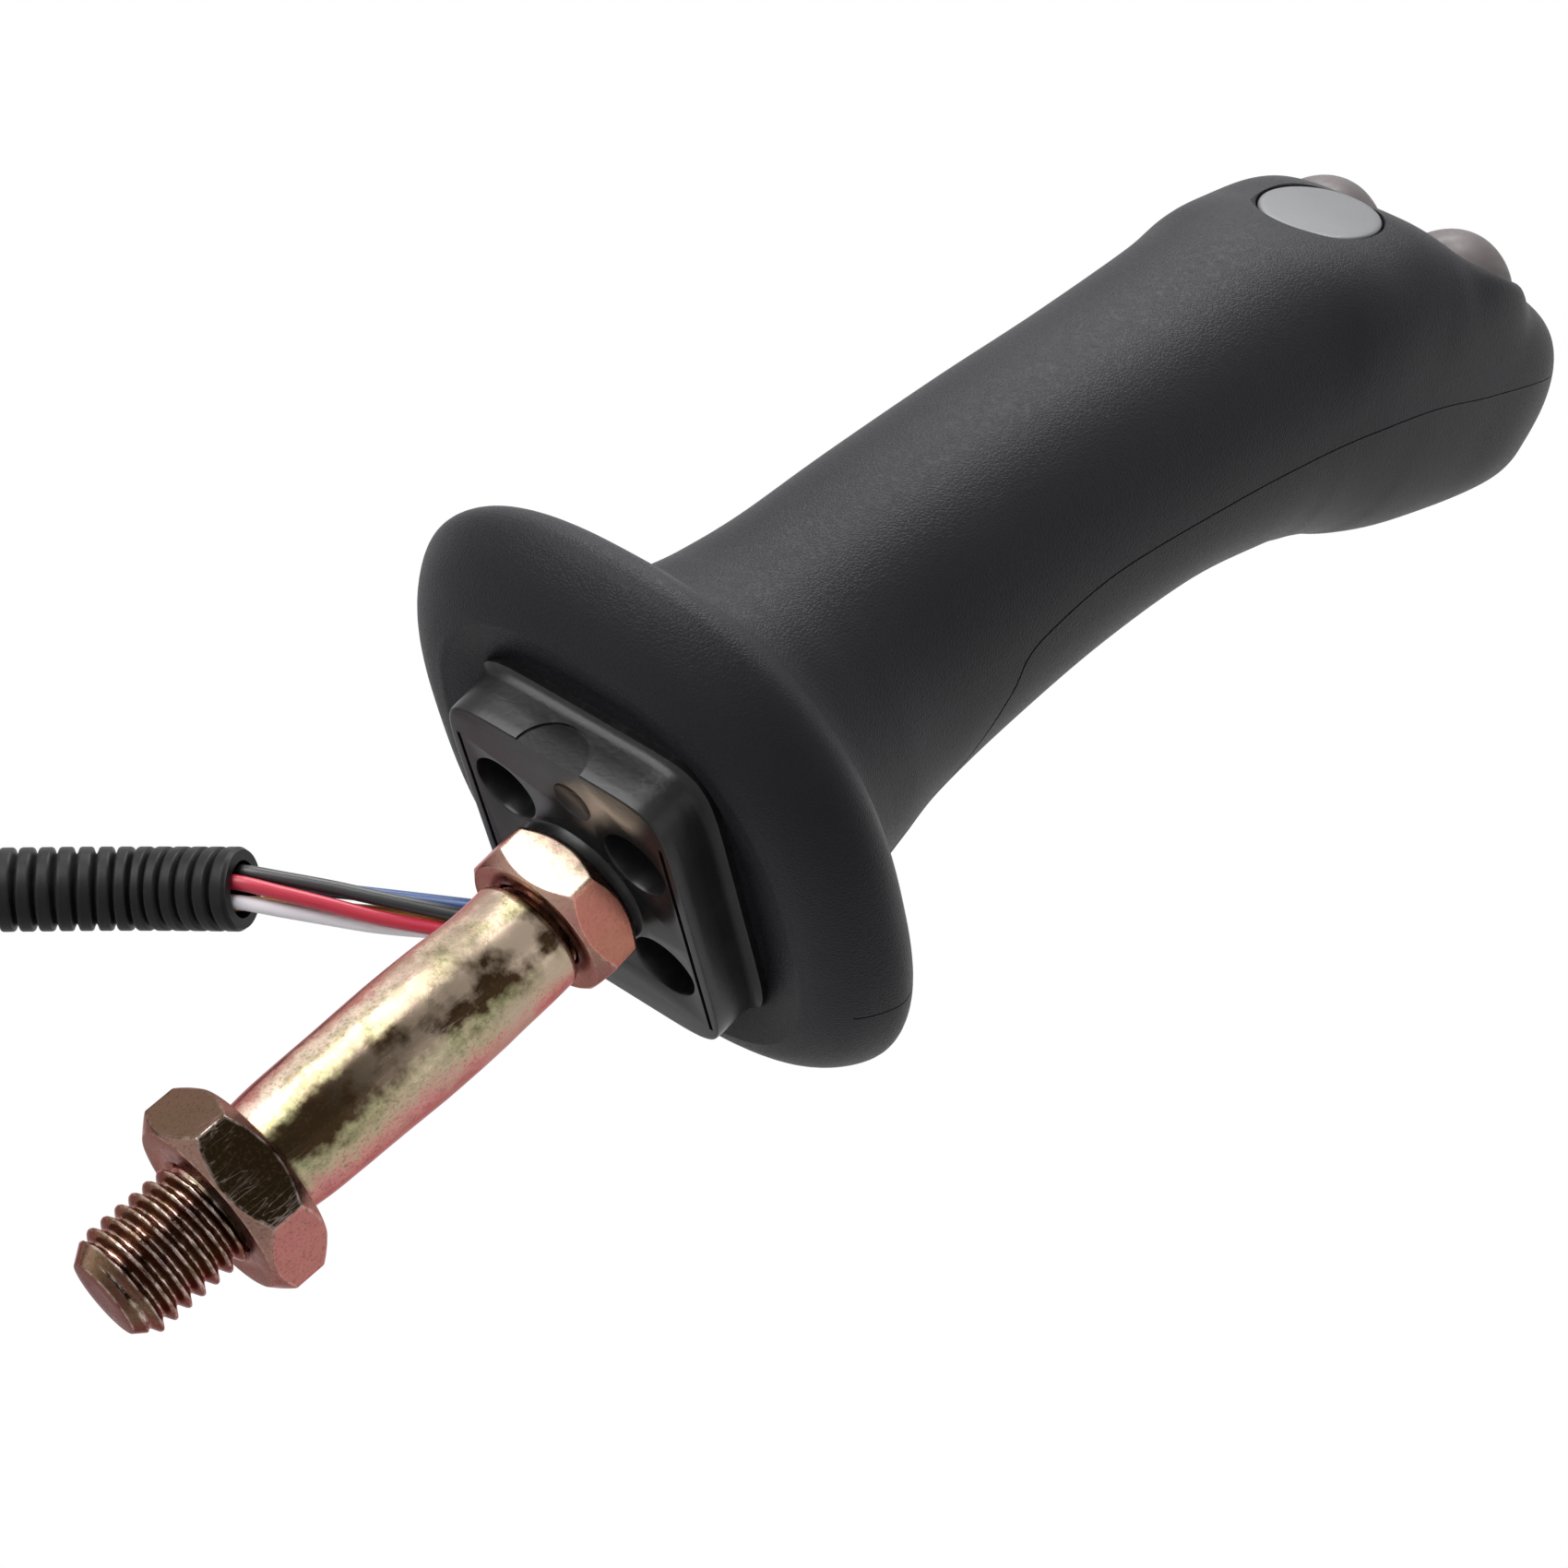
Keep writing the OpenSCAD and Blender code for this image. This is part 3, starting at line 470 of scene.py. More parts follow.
class Graph:
    """Places nodes in one tree and joins them."""

    def __init__(self, tree: bpy.types.NodeTree) -> None:
        """Keeps the tree."""
        self.tree = tree

    def fill(self, node: bpy.types.Node, sockets: dict) -> None:
        """Sets inputs to values, or feeds them from outputs.

        Args:
            node: The node.
            sockets: Input name or number to a value, or to an output that feeds it.
        """
        for key, value in sockets.items():
            if isinstance(value, bpy.types.NodeSocket):
                self.tree.links.new(value, node.inputs[key])
            else:
                node.inputs[key].default_value = value

    def place(self, kind: str, sockets: dict | None = None, **settings: object) -> bpy.types.Node:
        """Adds a node.

        Args:
            kind: Blender's name of the node.
            sockets: What its inputs are filled with.
            settings: The node's own settings.

        Returns:
            The node.
        """
        node = self.tree.nodes.new(kind)
        for key, value in settings.items():
            setattr(node, key, value)
        self.fill(node, sockets or {})
        return node

    def math(self, operation: str, *values: object) -> Socket:
        """A sum of numbers or outputs."""
        return self.place("ShaderNodeMath", dict(enumerate(values)), operation=operation).outputs[0]

    def vector(self, operation: str, *values: object) -> bpy.types.Node:
        """A node that works on vectors."""
        return self.place("ShaderNodeVectorMath", dict(enumerate(values)), operation=operation)

    def blend(self, amount: object, first: object, second: object, kind: str = "MIX") -> Socket:
        """A colour between two, or the first with the second worked into it."""
        sockets = {0: amount, 6: first, 7: second}
        return self.place("ShaderNodeMix", sockets, data_type="RGBA", blend_type=kind).outputs[2]

    def ranged(self, value: object, low: float, high: float, first: float, last: float) -> Socket:
        """A value brought from low and high to first and last, and kept between them."""
        names = ("Value", "From Min", "From Max", "To Min", "To Max")
        sockets = dict(zip(names, (value, low, high, first, last)))
        return self.place("ShaderNodeMapRange", sockets).outputs[0]

    def ramp(self, value: object, stops: Stops) -> Socket:
        """A colour from a row of stops."""
        node = self.place("ShaderNodeValToRGB", {0: value})
        row = node.color_ramp.elements
        for i, (at, colour) in enumerate(stops):
            stop = row[i] if i < 2 else row.new(at)
            stop.position, stop.color = at, rgba(colour)
        return node.outputs[0]

    def bump(self, height: object, distance: float, strength: float) -> Socket:
        """A normal that follows a height in metres."""
        sockets = {"Height": height, "Distance": distance, "Strength": strength}
        return self.place("ShaderNodeBump", sockets).outputs[0]

    def place_of(self) -> Socket:
        """The surface's own coordinates, in metres."""
        return self.place("ShaderNodeTexCoord").outputs["Object"]

    def noise(self, scale: object, detail: float = 3, where: object = None) -> Socket:
        """Soft noise from 0 to 1."""
        where = self.place_of() if where is None else where
        sockets = {"Vector": where, "Scale": scale, "Detail": detail}
        return self.place("ShaderNodeTexNoise", sockets).outputs[0]

    def effect(self, group: bpy.types.NodeTree, out: str = "Mask", **values: float) -> Socket:
        """What a shared group puts out for given values."""
        node = self.place("ShaderNodeGroup", node_tree=group)
        self.fill(node, values)
        return node.outputs[out]


class Group:
    """A shared shader group in the making."""

    def __init__(self, name: str, numbers: dict[str, float], output: str) -> None:
        """Starts the group.

        Args:
            name: The group's name.
            numbers: Its number inputs and their defaults.
            output: Its one output.
        """
        self.tree = bpy.data.node_groups.new(name, "ShaderNodeTree")
        face = self.tree.interface
        for key, value in numbers.items():
            socket = face.new_socket(key, in_out="INPUT", socket_type="NodeSocketFloat")
            socket.default_value = value
        face.new_socket(output, in_out="OUTPUT", socket_type="NodeSocketFloat")
        self.graph = Graph(self.tree)
        self.given = self.graph.place("NodeGroupInput").outputs

    def ended(self, value: Socket) -> bpy.types.NodeTree:
        """Puts out the value, and returns the group."""
        self.graph.place("NodeGroupOutput", {0: value})
        return self.tree


class Effects:
    """Effects that several finishes share, each a group made once."""

    def __init__(self) -> None:
        """Builds the groups."""
        self.grain = self._grain()
        self.wear_and_highlight = self._wear_and_highlight()
        self.dust = self._dust()
        self.scuffs = self._scuffs()

    @staticmethod
    def _grain() -> bpy.types.NodeTree:
        """Pebbled mould grain: cells with soft gaps, over a slow unevenness."""
        group = Group("mould_grain", {"Scale": 1500.0, "Pebble": 0.7}, "Height")
        g, scale = group.graph, group.given["Scale"]
        where = g.place_of()
        sockets = {"Vector": where, "Scale": 420.0, "Detail": 2.0}
        warp = g.place("ShaderNodeTexNoise", sockets).outputs["Color"]
        bent = g.vector("MULTIPLY", warp, (0.0009, 0.0009, 0.0009)).outputs[0]
        moved = g.vector("ADD", where, bent).outputs[0]
        sockets = {"Vector": moved, "Scale": scale, "Randomness": 1.0}
        cells = g.place("ShaderNodeTexVoronoi", sockets, feature="DISTANCE_TO_EDGE")
        pebble = g.ranged(cells.outputs["Distance"], 0.0, 0.22, 0.0, 1.0)
        fine = g.noise(g.math("MULTIPLY", scale, 1.9), 3.0, where)
        coarse = g.math("MULTIPLY", pebble, group.given["Pebble"])
        return group.ended(g.math("ADD", coarse, g.math("MULTIPLY", fine, 0.5)))

    @staticmethod
    def _wear_and_highlight() -> bpy.types.NodeTree:
        """Mask of convex edges, broken up by noise, that marks wear and paints a highlight along
        them.
        """
        group = Group("edge_wear_and_highlight", {"Width": 0.0005, "Amount": 0.5}, "Mask")
        g = group.graph
        rounded = g.place("ShaderNodeBevel", {"Radius": group.given["Width"]}, samples=4)
        flat = g.place("ShaderNodeNewGeometry").outputs["True Normal"]
        same = g.vector("DOT_PRODUCT", rounded.outputs[0], flat).outputs["Value"]
        edge = g.ranged(same, 0.99, 0.93, 0.0, 1.0)
        broken = g.ranged(g.noise(900.0, 4.0), 0.38, 0.66, 0.0, 1.0)
        mask = g.math("MULTIPLY", edge, broken)
        return group.ended(g.math("MULTIPLY", mask, group.given["Amount"]))

    @staticmethod
    def _dust() -> bpy.types.NodeTree:
        """Mask of dust that settles on faces turned upward."""
        group = Group("settled_dust", {"Amount": 0.2}, "Mask")
        g = group.graph
        normal = g.place("ShaderNodeNewGeometry").outputs["Normal"]
        up = g.place("ShaderNodeSeparateXYZ", {0: normal}).outputs[2]
        facing = g.ranged(up, 0.2, 1.0, 0.15, 1.0)
        patch = g.ranged(g.noise(260.0, 5.0), 0.42, 0.75, 0.0, 1.0)
        mask = g.math("MULTIPLY", facing, patch)
        return group.ended(g.math("MULTIPLY", mask, group.given["Amount"]))

    @staticmethod
    def _scuffs() -> bpy.types.NodeTree:
        """Mask of fine stray scratches."""
        group = Group("fine_scuffs", {"Amount": 0.5}, "Mask")
        g = group.graph
        where = g.place_of()
        lines = []
        for turn, scale in ((0.6, 90.0), (2.0, 130.0)):
            sockets = {
                "Vector": where,
                "Rotation": (turn, 0.4, turn * 1.7),
                "Scale": (1.0, 14.0, 1.0),
            }
            streak = g.noise(scale, 2.0, g.place("ShaderNodeMapping", sockets).outputs[0])
            off = g.math("ABSOLUTE", g.math("SUBTRACT", streak, 0.5))
            lines.append(g.ranged(off, 0.0, 0.012, 1.0, 0.0))
        worn_here = g.ranged(g.noise(70.0, 2.0), 0.5, 0.68, 0.0, 1.0)
        amount = g.math("MULTIPLY", worn_here, group.given["Amount"])
        return group.ended(g.math("MULTIPLY", g.math("MAXIMUM", *lines), amount))


class Finish:
    """A finish made of nodes. Each kind fills in its own material."""

    name: str

    def start(self) -> tuple[bpy.types.Material, Graph, bpy.types.Node]:
        """Makes the material, its graph and its surface node."""
        material = bpy.data.materials.new(self.name)
        material.use_nodes = True
        material.node_tree.nodes.clear()
        g = Graph(material.node_tree)
        surface = g.place("ShaderNodeBsdfPrincipled")
        g.place("ShaderNodeOutputMaterial", {"Surface": surface.outputs[0]})
        return material, g, surface


@dataclass(frozen=True)
class MouldedPlastic(Finish):
    """Moulded plastic or rubber with grain, light edges that are wear and a painted highlight, and
    a little dust.
    """

    name: str
    colour: Colour
    worn_and_highlight: Colour
    roughness: float = 0.5
    specular: float = 0.4
    grain_scale: float = 1500.0
    grain_depth: float = 0.00004
    pebble: float = 0.7
    edge: float = 0.35
    dust: float = 0.1
    scuffs: float = 0.15

    def made(self, effects: Effects) -> bpy.types.Material:
        """Builds the material from the shared effects."""
        material, g, surface = self.start()
        grain = g.effect(effects.grain, "Height", Scale=self.grain_scale, Pebble=self.pebble)
        edge = g.effect(effects.wear_and_highlight, Width=0.0005, Amount=self.edge)
        dust = g.effect(effects.dust, Amount=self.dust)
        scuff = g.effect(effects.scuffs, Amount=self.scuffs)
        slow = g.noise(38.0, 3.0)
        tone = g.ranged(slow, 0.3, 0.7, 0.0, 1.0)
        shade = g.blend(tone, scaled(self.colour, 0.86), scaled(self.colour, 1.12))
        # Scuffs take the pale colour as wear; edges take it as wear and a painted highlight.
        marked = g.blend(g.math("MAXIMUM", edge, scuff), shade, rgba(self.worn_and_highlight))
        uneven = g.math("ADD", g.math("MULTIPLY", slow, 0.5), g.math("MULTIPLY", grain, 0.5))
        rough = g.ranged(uneven, 0.2, 0.9, self.roughness * 0.9, self.roughness * 1.12)
        sockets = {
            "Base Color": g.blend(dust, marked, rgba(DUST)),
            "Roughness": g.math("ADD", rough, g.math("MULTIPLY", dust, 0.3)),
            "Normal": g.bump(grain, self.grain_depth, 1.0),
            "Specular IOR Level": self.specular,
        }
        g.fill(surface, sockets)
        return material


@dataclass(frozen=True)
class PassivatedZinc(Finish):
    """Yellow passivated zinc, whose colour changes round the piece in bands and drifts in blotches.

    Bands run from 0 to 1 round Z, from -X by -Y, +X and +Y back to -X. They hold the
    zinc's tint together with painted highlights and painted dark reflections. Below a
    given height in metres the metal is darker, and above it brighter patches
    come in towards the top.
    """

    name: str
    tint_and_reflection_bands: Stops
    roughness: float = 0.26
    blotch: float = 0.05
    speckle: float = 0.35
    darker_below: float | None = None

    def tint_and_reflections(self, g: Graph) -> Socket:
        """The colour of the passivation with its painted highlight and reflection bands, before
        edge wear and edge highlights.
        """
        normal = g.place("ShaderNodeTexCoord").outputs["Normal"]
        parts = g.place("ShaderNodeSeparateXYZ", {0: normal}).outputs
        way = g.math("ARCTAN2", parts[1], parts[0])
        share = g.math("ADD", g.math("MULTIPLY", way, 1 / (2 * math.pi)), 0.5)
        drifts = []
        for scale, detail, reach in ((75.0, 4.0, self.blotch * 2), (700.0, 5.0, self.blotch * 1.2)):
            off = g.math("SUBTRACT", g.noise(scale, detail), 0.5)
            drifts.append(g.math("MULTIPLY", off, reach))
        # The bands follow the way each face turns, so they paint highlights and dark reflections
        # along with the zinc's tint.
        banded = g.ramp(g.math("ADD", share, g.math("ADD", *drifts)), self.tint_and_reflection_bands)
        ends = g.ranged(g.math("ABSOLUTE", parts[2]), 0.45, 0.7, 0.0, 1.0)
        faced = g.blend(g.math("MULTIPLY", ends, 0.75), banded, rgba(ZINC_END))
        tinted = g.blend(0.4, faced, g.ramp(g.noise(150.0, 3.0), RAINBOW), "MULTIPLY")
        specks = g.ranged(g.noise(2600.0, 4.0), 0.5, 0.72, 0.0, self.speckle)
        return g.blend(specks, tinted, rgba(ZINC_SPECK))

    def toned_by_height(self, g: Graph, colour: Socket) -> Socket:
        """The colour with its brighter patches above and its darker foot."""
        if self.darker_below is None:
            return colour
        z = g.place("ShaderNodeSeparateXYZ", {0: g.place_of()}).outputs[2]
        patch = g.ranged(g.noise(190.0, 5.0), 0.42, 0.56, 0.0, 1.0)
        upper = g.math("MULTIPLY", g.ranged(z, 0.022, 0.052, 0.0, 0.8), patch)
        brighter = g.blend(upper, colour, rgba(ZINC_BRIGHT))
        # Darker below the given height.
        low = g.ranged(z, self.darker_below - 0.001, self.darker_below + 0.001, 0.8, 0.0)
        return g.blend(low, brighter, rgba(LOWER_DARKENING), "MULTIPLY")

    def made(self, effects: Effects) -> bpy.types.Material:
        """Builds the material from the shared effects."""
        material, g, surface = self.start()
        # The edge mask paints light corners on the nuts: partly wear, partly a painted highlight.
        edge = g.effect(effects.wear_and_highlight, Width=0.0005, Amount=0.9)
        scuff = g.effect(effects.scuffs, Amount=0.5)
        marks = g.math("MAXIMUM", edge, g.math("MULTIPLY", scuff, 0.4))
        pits = g.math("MULTIPLY", g.noise(1900.0, 4.0), 0.6)
        height = g.math("ADD", pits, g.math("MULTIPLY", scuff, -0.4))
        low, high = self.roughness * 0.75, self.roughness * 1.35
        sockets = {
            "Base Color": g.blend(marks, self.toned_by_height(g, self.tint_and_reflections(g)), rgba(ZINC_WEAR_AND_HIGHLIGHT)),
            "Roughness": g.ranged(g.noise(420.0, 4.0), 0.3, 0.7, low, high),
            "Normal": g.bump(height, 0.00003, 0.7),
            "Metallic": 1.0,
            "Specular Tint": (0.75, 0.5, 0.5, 1.0),
        }
        g.fill(surface, sockets)
        return material


@dataclass(frozen=True)
class CleanMetal(Finish):
    """Brass, bright steel or tin with blotches, fine scuffs and lighter edges that are wear and a
    painted highlight.
    """

    name: str
    colour: Colour
    roughness: float = 0.3

    def made(self, effects: Effects) -> bpy.types.Material:
        """Builds the material from the shared effects."""
        material, g, surface = self.start()
        blotch = g.noise(320.0, 4.0)
        scuff = g.effect(effects.scuffs, Amount=0.4)
        edge = g.effect(effects.wear_and_highlight, Width=0.0003, Amount=0.5)
        share = g.ranged(blotch, 0.35, 0.65, 0.0, 1.0)
        tone = g.blend(share, scaled(self.colour, 0.78), rgba(self.colour))
        # The edge mask here is wear and a painted edge highlight.
        marks = g.math("MAXIMUM", scuff, edge)
        low, high = self.roughness * 0.8, self.roughness * 1.2
        sockets = {
            "Base Color": g.blend(marks, tone, scaled(self.colour, 1.25)),
            "Roughness": g.ranged(blotch, 0.3, 0.7, low, high),
            "Normal": g.bump(g.noise(2400.0, 3.0), 0.00001, 0.5),
            "Metallic": 1.0,
        }
        g.fill(surface, sockets)
        return material


@dataclass(frozen=True)
class SmokyDome(Finish):
    """Smoky translucent plastic with a frosted lower skin."""

    name: str
    colour: Colour
    rim: Colour
    roughness: float
    clear: float

    def made(self, effects: Effects) -> bpy.types.Material:
        """Builds the material from the shared effects."""
        material, g, surface = self.start()
        cloud = g.ranged(g.noise(210.0, 4.0), 0.3, 0.7, 0.0, 1.0)
        tone = g.blend(cloud, rgba(self.colour), scaled(self.colour, 0.88))
        edge = g.effect(effects.wear_and_highlight, Width=0.0006, Amount=0.4)
        scuff = g.effect(effects.scuffs, Amount=0.2)
        low, high = self.roughness * 0.8, self.roughness * 1.25
        # The rim colour goes on scuffs and on the edge mask, which is wear and a painted edge
        # highlight.
        sockets = {
            "Base Color": g.blend(g.math("MAXIMUM", edge, scuff), tone, rgba(self.rim)),
            "Roughness": g.ranged(g.noise(500.0, 3.0), 0.3, 0.7, low, high),
            "Normal": g.bump(g.noise(1500.0, 3.0), 0.00001, 0.4),
            "Transmission Weight": self.clear,
            "IOR": 1.46,
            "Subsurface Weight": 0.3,
            "Subsurface Radius": (0.004, 0.0032, 0.003),
            "Subsurface Scale": 1.0,
        }
        g.fill(surface, sockets)
        return material


# ---------------------------------------------------------------- camera, light and stage


@dataclass(frozen=True)
class Lamp:
    """A soft square lamp that faces the grip.

    Side, up and back are shares of its way towards the view's right, the view's top
    and the viewer. Reach and size are in metres, and power is in watts.
    """

    name: str
    side: float
    up: float
    back: float
    reach: float
    size: float
    power: float


@dataclass(frozen=True)
class Studio:
    """Camera, lamps, floor and world, in metres."""

    eye: tuple[float, float, float] = (0.24518275, -0.34948679, -0.09650276)
    right: tuple[float, float, float] = (0.7514988274, 0.1532823742, 0.6416806263)
    down: tuple[float, float, float] = (0.4278590072, 0.6271215738, -0.6508880100)
    ahead: tuple[float, float, float] = (-0.5021814237, 0.7636904121, 0.4056978829)
    lens: float = 88.94
    sensor: float = 36.0
    floor_z: float = -0.2345
    floor_half: float = 6.0
    floor_lift: float = 0.45
    glow: float = 0.22
    aim: tuple[float, float, float] = (0.0, 0.015, 0.09)
    lamps: tuple[Lamp, ...] = (
        Lamp("key", -0.6, 0.9, 0.75, 0.8, 0.6, 8.0),
        Lamp("top", 0.15, 1.0, -0.1, 0.8, 0.5, 6.0),
        Lamp("fill", 0.9, -0.3, 0.9, 1.2, 0.9, 1.5),
    )

    def set_camera(self) -> None:
        """Makes the camera and gives it to the scene."""
        data = bpy.data.cameras.new("camera")
        data.lens, data.sensor_width = self.lens, self.sensor
        data.clip_start, data.clip_end = 0.01, 20.0
        camera = bpy.data.objects.new("camera", data)
        right, down, ahead = (Vector(v).normalized() for v in (self.right, self.down, self.ahead))
        turn = Matrix((right, -down, -ahead)).transposed()
        camera.matrix_world = Matrix.Translation(self.eye) @ turn.to_4x4()
        bpy.context.scene.collection.objects.link(camera)
        bpy.context.scene.camera = camera

    def hang(self, lamp: Lamp) -> None:
        """Hangs a lamp in its place."""
        right, down, ahead = Vector(self.right), Vector(self.down), Vector(self.ahead)
        way = (right * lamp.side - down * lamp.up - ahead * lamp.back).normalized()
        data = bpy.data.lights.new(lamp.name, "AREA")
        data.shape, data.size, data.energy = "SQUARE", lamp.size, lamp.power
        light = bpy.data.objects.new(lamp.name, data)
        light.location = Vector(self.aim) + way * lamp.reach
        light.rotation_mode = "QUATERNION"
        light.rotation_quaternion = way.to_track_quat("Z", "Y")
        bpy.context.scene.collection.objects.link(light)

    @staticmethod
    def seen_directly(g: Graph) -> Socket:
        """1 where the camera, gloss or glass looks, otherwise 0."""
        rays = g.place("ShaderNodeLightPath").outputs
        gloss = g.math("MAXIMUM", rays["Is Glossy Ray"], rays["Is Transmission Ray"])
        return g.math("MAXIMUM", rays["Is Camera Ray"], gloss)

    def set_world(self) -> None:
        """A white world to look at that lights the part softly."""
        world = bpy.data.worlds.new("world")
        world.use_nodes = True
        world.node_tree.nodes.clear()
        g = Graph(world.node_tree)
        soft, white = (
            g.place("ShaderNodeBackground", {"Color": (1, 1, 1, 1), "Strength": strength})
            for strength in (self.glow, 1.0)
        )
        sockets = {0: self.seen_directly(g), 1: soft.outputs[0], 2: white.outputs[0]}
        mix = g.place("ShaderNodeMixShader", sockets)
        g.place("ShaderNodeOutputWorld", {"Surface": mix.outputs[0]})
        bpy.context.scene.world = world

    def set_floor(self) -> None:
        """A plain pale floor that keeps the part's shadow."""
        material = bpy.data.materials.new("floor_paper")
        material.use_nodes = True
        material.node_tree.nodes.clear()
        g = Graph(material.node_tree)
        tone = g.blend(g.noise(40.0, 2.0), (0.86, 0.86, 0.86, 1), (0.88, 0.88, 0.88, 1))
        paper = g.place("ShaderNodeBsdfDiffuse", {"Color": tone})
        lift = g.place("ShaderNodeEmission", {"Color": (1, 1, 1, 1), "Strength": 1.0})
        share = g.math("MULTIPLY", self.seen_directly(g), self.floor_lift)
        sockets = {0: share, 1: paper.outputs[0], 2: lift.outputs[0]}
        mix = g.place("ShaderNodeMixShader", sockets)
        g.place("ShaderNodeOutputMaterial", {"Surface": mix.outputs[0]})
        half, z = self.floor_half, self.floor_z
        corner = [(-half, -half, z), (half, -half, z), (half, half, z), (-half, half, z)]
        mesh = bpy.data.meshes.new("floor")
        mesh.from_pydata(corner, [], [(0, 1, 2, 3)])
        mesh.materials.append(material)
        floor = bpy.data.objects.new("floor", mesh)
        bpy.context.scene.collection.objects.link(floor)

    def build(self) -> None:
        """Sets up camera, world, floor and lamps."""
        self.set_camera()
        self.set_world()
        self.set_floor()
        for lamp in self.lamps:
            self.hang(lamp)
        bpy.context.scene.view_settings.view_transform = "Standard"


# ---------------------------------------------------------------- the grip's shell


@dataclass(frozen=True)
class Button:
    """Where a button's face stands, and how large its cap is."""

    name: str
    body: Body
    x: float
    y: float
    z: float
    lean: float
    diameter: float
    dome: float

    def matrix(self) -> Matrix:
        """From the button's own frame, with z = 0 at its face, to the drawing's."""
        return shift(self.x, self.y, self.z) @ spin(self.lean, "X")

    def seated(
        self, points: np.ndarray, radius: float = 14.0, blend: float = 6.2, reach: float = 9.5
    ) -> np.ndarray:
        """Brings the shell level with the button's foot near it.

        Args:
            points: The shell's points.
            radius: Radius of the level seat.
            blend: Width over which it fades.
            reach: Height over which it works.

        Returns:
            The moved points.
        """
        lean = math.radians(self.lean)
        normal = np.array([0, -math.sin(lean), math.cos(lean)])
        away = points - np.array([self.x, self.y, self.z])
        height = away @ normal
        flat = np.linalg.norm(away - height[:, None] * normal, axis=1)
        near = eased((radius - flat) / blend)
        level = eased((reach - np.abs(height)) / (reach - 1.5))
        return points - (height * near * level)[:, None] * normal


@dataclass
class GripShell:
    """The grip body and its finger cover.

    A station holds z, y, half width, reach in front, behind, lean, and
    squareness in front and behind.
    """

    half_w: float = 18.3
    half_d: float = 20.2
    wall: float = 2.6
    seam_gap: float = 0.3
    flange_w: float = 35.8
    flange_l: float = 42.2
    flange_z: float = 6.3
    floor_z: float = 8.0
    sides: int = 208
    button_gap: float = 0.25
    buttons: tuple[Button, ...] = ()
    seam: tuple[tuple[float, float], ...] = (
        (17, 45.5), (16.5, 48), (10.6, 56.3), (7.2, 60), (6.8, 66), (8.6, 78),
        (14.9, 97.5), (20, 112), (26, 127), (33, 141), (41, 153), (50.5, 167.5),
        (58, 177), (68, 190),
    )  # fmt: skip
    cover_screws: tuple[tuple[float, float, float], ...] = ((7.5, 68, 9), (16.6, 104, 19))
    plate_screw_y: tuple[float, ...] = (-18.5, 18.1)

    def flange_stations(self) -> list[tuple[float, ...]]:
        """Stations of the hand flange."""
        w, f, z = self.flange_w, self.flange_l, self.flange_z
        g, d = self.half_w, self.half_d
        return [
            (z, -0.3, w - 9, f - 9.8, f - 9, 0, 2.5, 2.5),
            (z + 0.8, -0.3, w - 6.2, f - 7, f - 6.2, 0, 2.5, 2.5),
            (z + 2.6, -0.3, w - 3.3, f - 4, f - 3.3, 0, 2.5, 2.5),
            (z + 5, -0.3, w - 1.2, f - 1.8, f - 1.2, 0, 2.5, 2.5),
            (z + 7.6, -0.3, w, f - 0.6, f, 0, 2.5, 2.5),
            (z + 10, -0.3, w - 0.5, f - 1, f - 0.5, 0, 2.5, 2.5),
            (z + 12, -0.2, w - 2.2, f - 2.5, f - 2.2, 0, 2.5, 2.5),
            (z + 13.9, 0, w - 5.2, f - 5.4, f - 5.4, 0, 2.5, 2.5),
            (z + 15.8, 0.6, w - 9, f - 9.8, f - 9.8, 0, 2.4, 2.4),
            (z + 18, 1.4, w - 12.2, f - 14, f - 14.2, 0, 2.4, 2.4),
            (z + 21, 2, g + 3.4, d + 5.6, d + 5.4, 0, 2.3, 2.3),
            (z + 25.2, 2.6, g + 2.2, d + 4.4, d + 4.2, 1, 2.3, 2.3),
        ]

    def grip_stations(self) -> list[tuple[float, ...]]:
        """Stations of the grip above the flange."""
        g, d = self.half_w, self.half_d
        return [
            (36, 3.4, g + 1.4, d + 3.6, d + 3.4, 2, 2.3, 2.3),
            (45, 4.5, g + 0.2, d + 2.3, d + 2.3, 4, 2.3, 2.3),
            (60, 6.5, g, d + 1.1, d + 1.1, 7, 2.3, 2.3),
            (80, 10.3, g, d, d, 12, 2.3, 2.3),
            (100, 15.5, g + 0.7, d - 0.6, d - 0.6, 18, 2.3, 2.3),
            (118, 21.6, g + 1.7, d + 1.2, d + 1.2, 26, 2.3, 2.4),
            (126, 24, g + 2.3, d + 2.9, d + 0.9, 31, 2.4, 2.9),
            (132, 26.7, g + 2.8, d + 4, d + 0.6, 36, 2.4, 3.2),
            (137.5, 31.7, g + 3.1, d + 3.3, d + 3, 41, 2.4, 3.4),
            (143, 37.1, g + 3.3, d + 3, d + 2.4, 46, 2.4, 4.2),
            (152, 45.8, g + 3.3, d + 1.9, d - 0.6, 55, 2.4, 4.6),
            (160, 55.4, g + 2.9, d - 2.2, d - 1.6, 62, 2.3, 4.2),
            (165, 63.6, g + 0.4, d - 7.4, d - 4.2, 66, 2.2, 3.3),
            (167.5, 68.6, g - 3.8, d - 11.4, d - 7.9, 68, 2.2, 2.8),
            (169, 71.4, g - 9.4, d - 15.4, d - 12.8, 68, 2.1, 2.3),
        ]

    def ring(self, station: Sequence[float], inset: float, sides: int) -> np.ndarray:
        """A ring of the shell.

        Args:
            station: The station's eight numbers.
            inset: How far inside the outer face it lies.
            sides: Number of points.

        Returns:
            Its points.
        """
        z, y, half, front, back, lean, ahead, behind = station
        loop = even_loop(half - inset, front - inset, back - inset, (ahead, behind), sides)
        t = math.radians(lean)
        return np.stack([loop[:, 0], y + loop[:, 1] * math.cos(t), z - loop[:, 1] * math.sin(t)], 1)

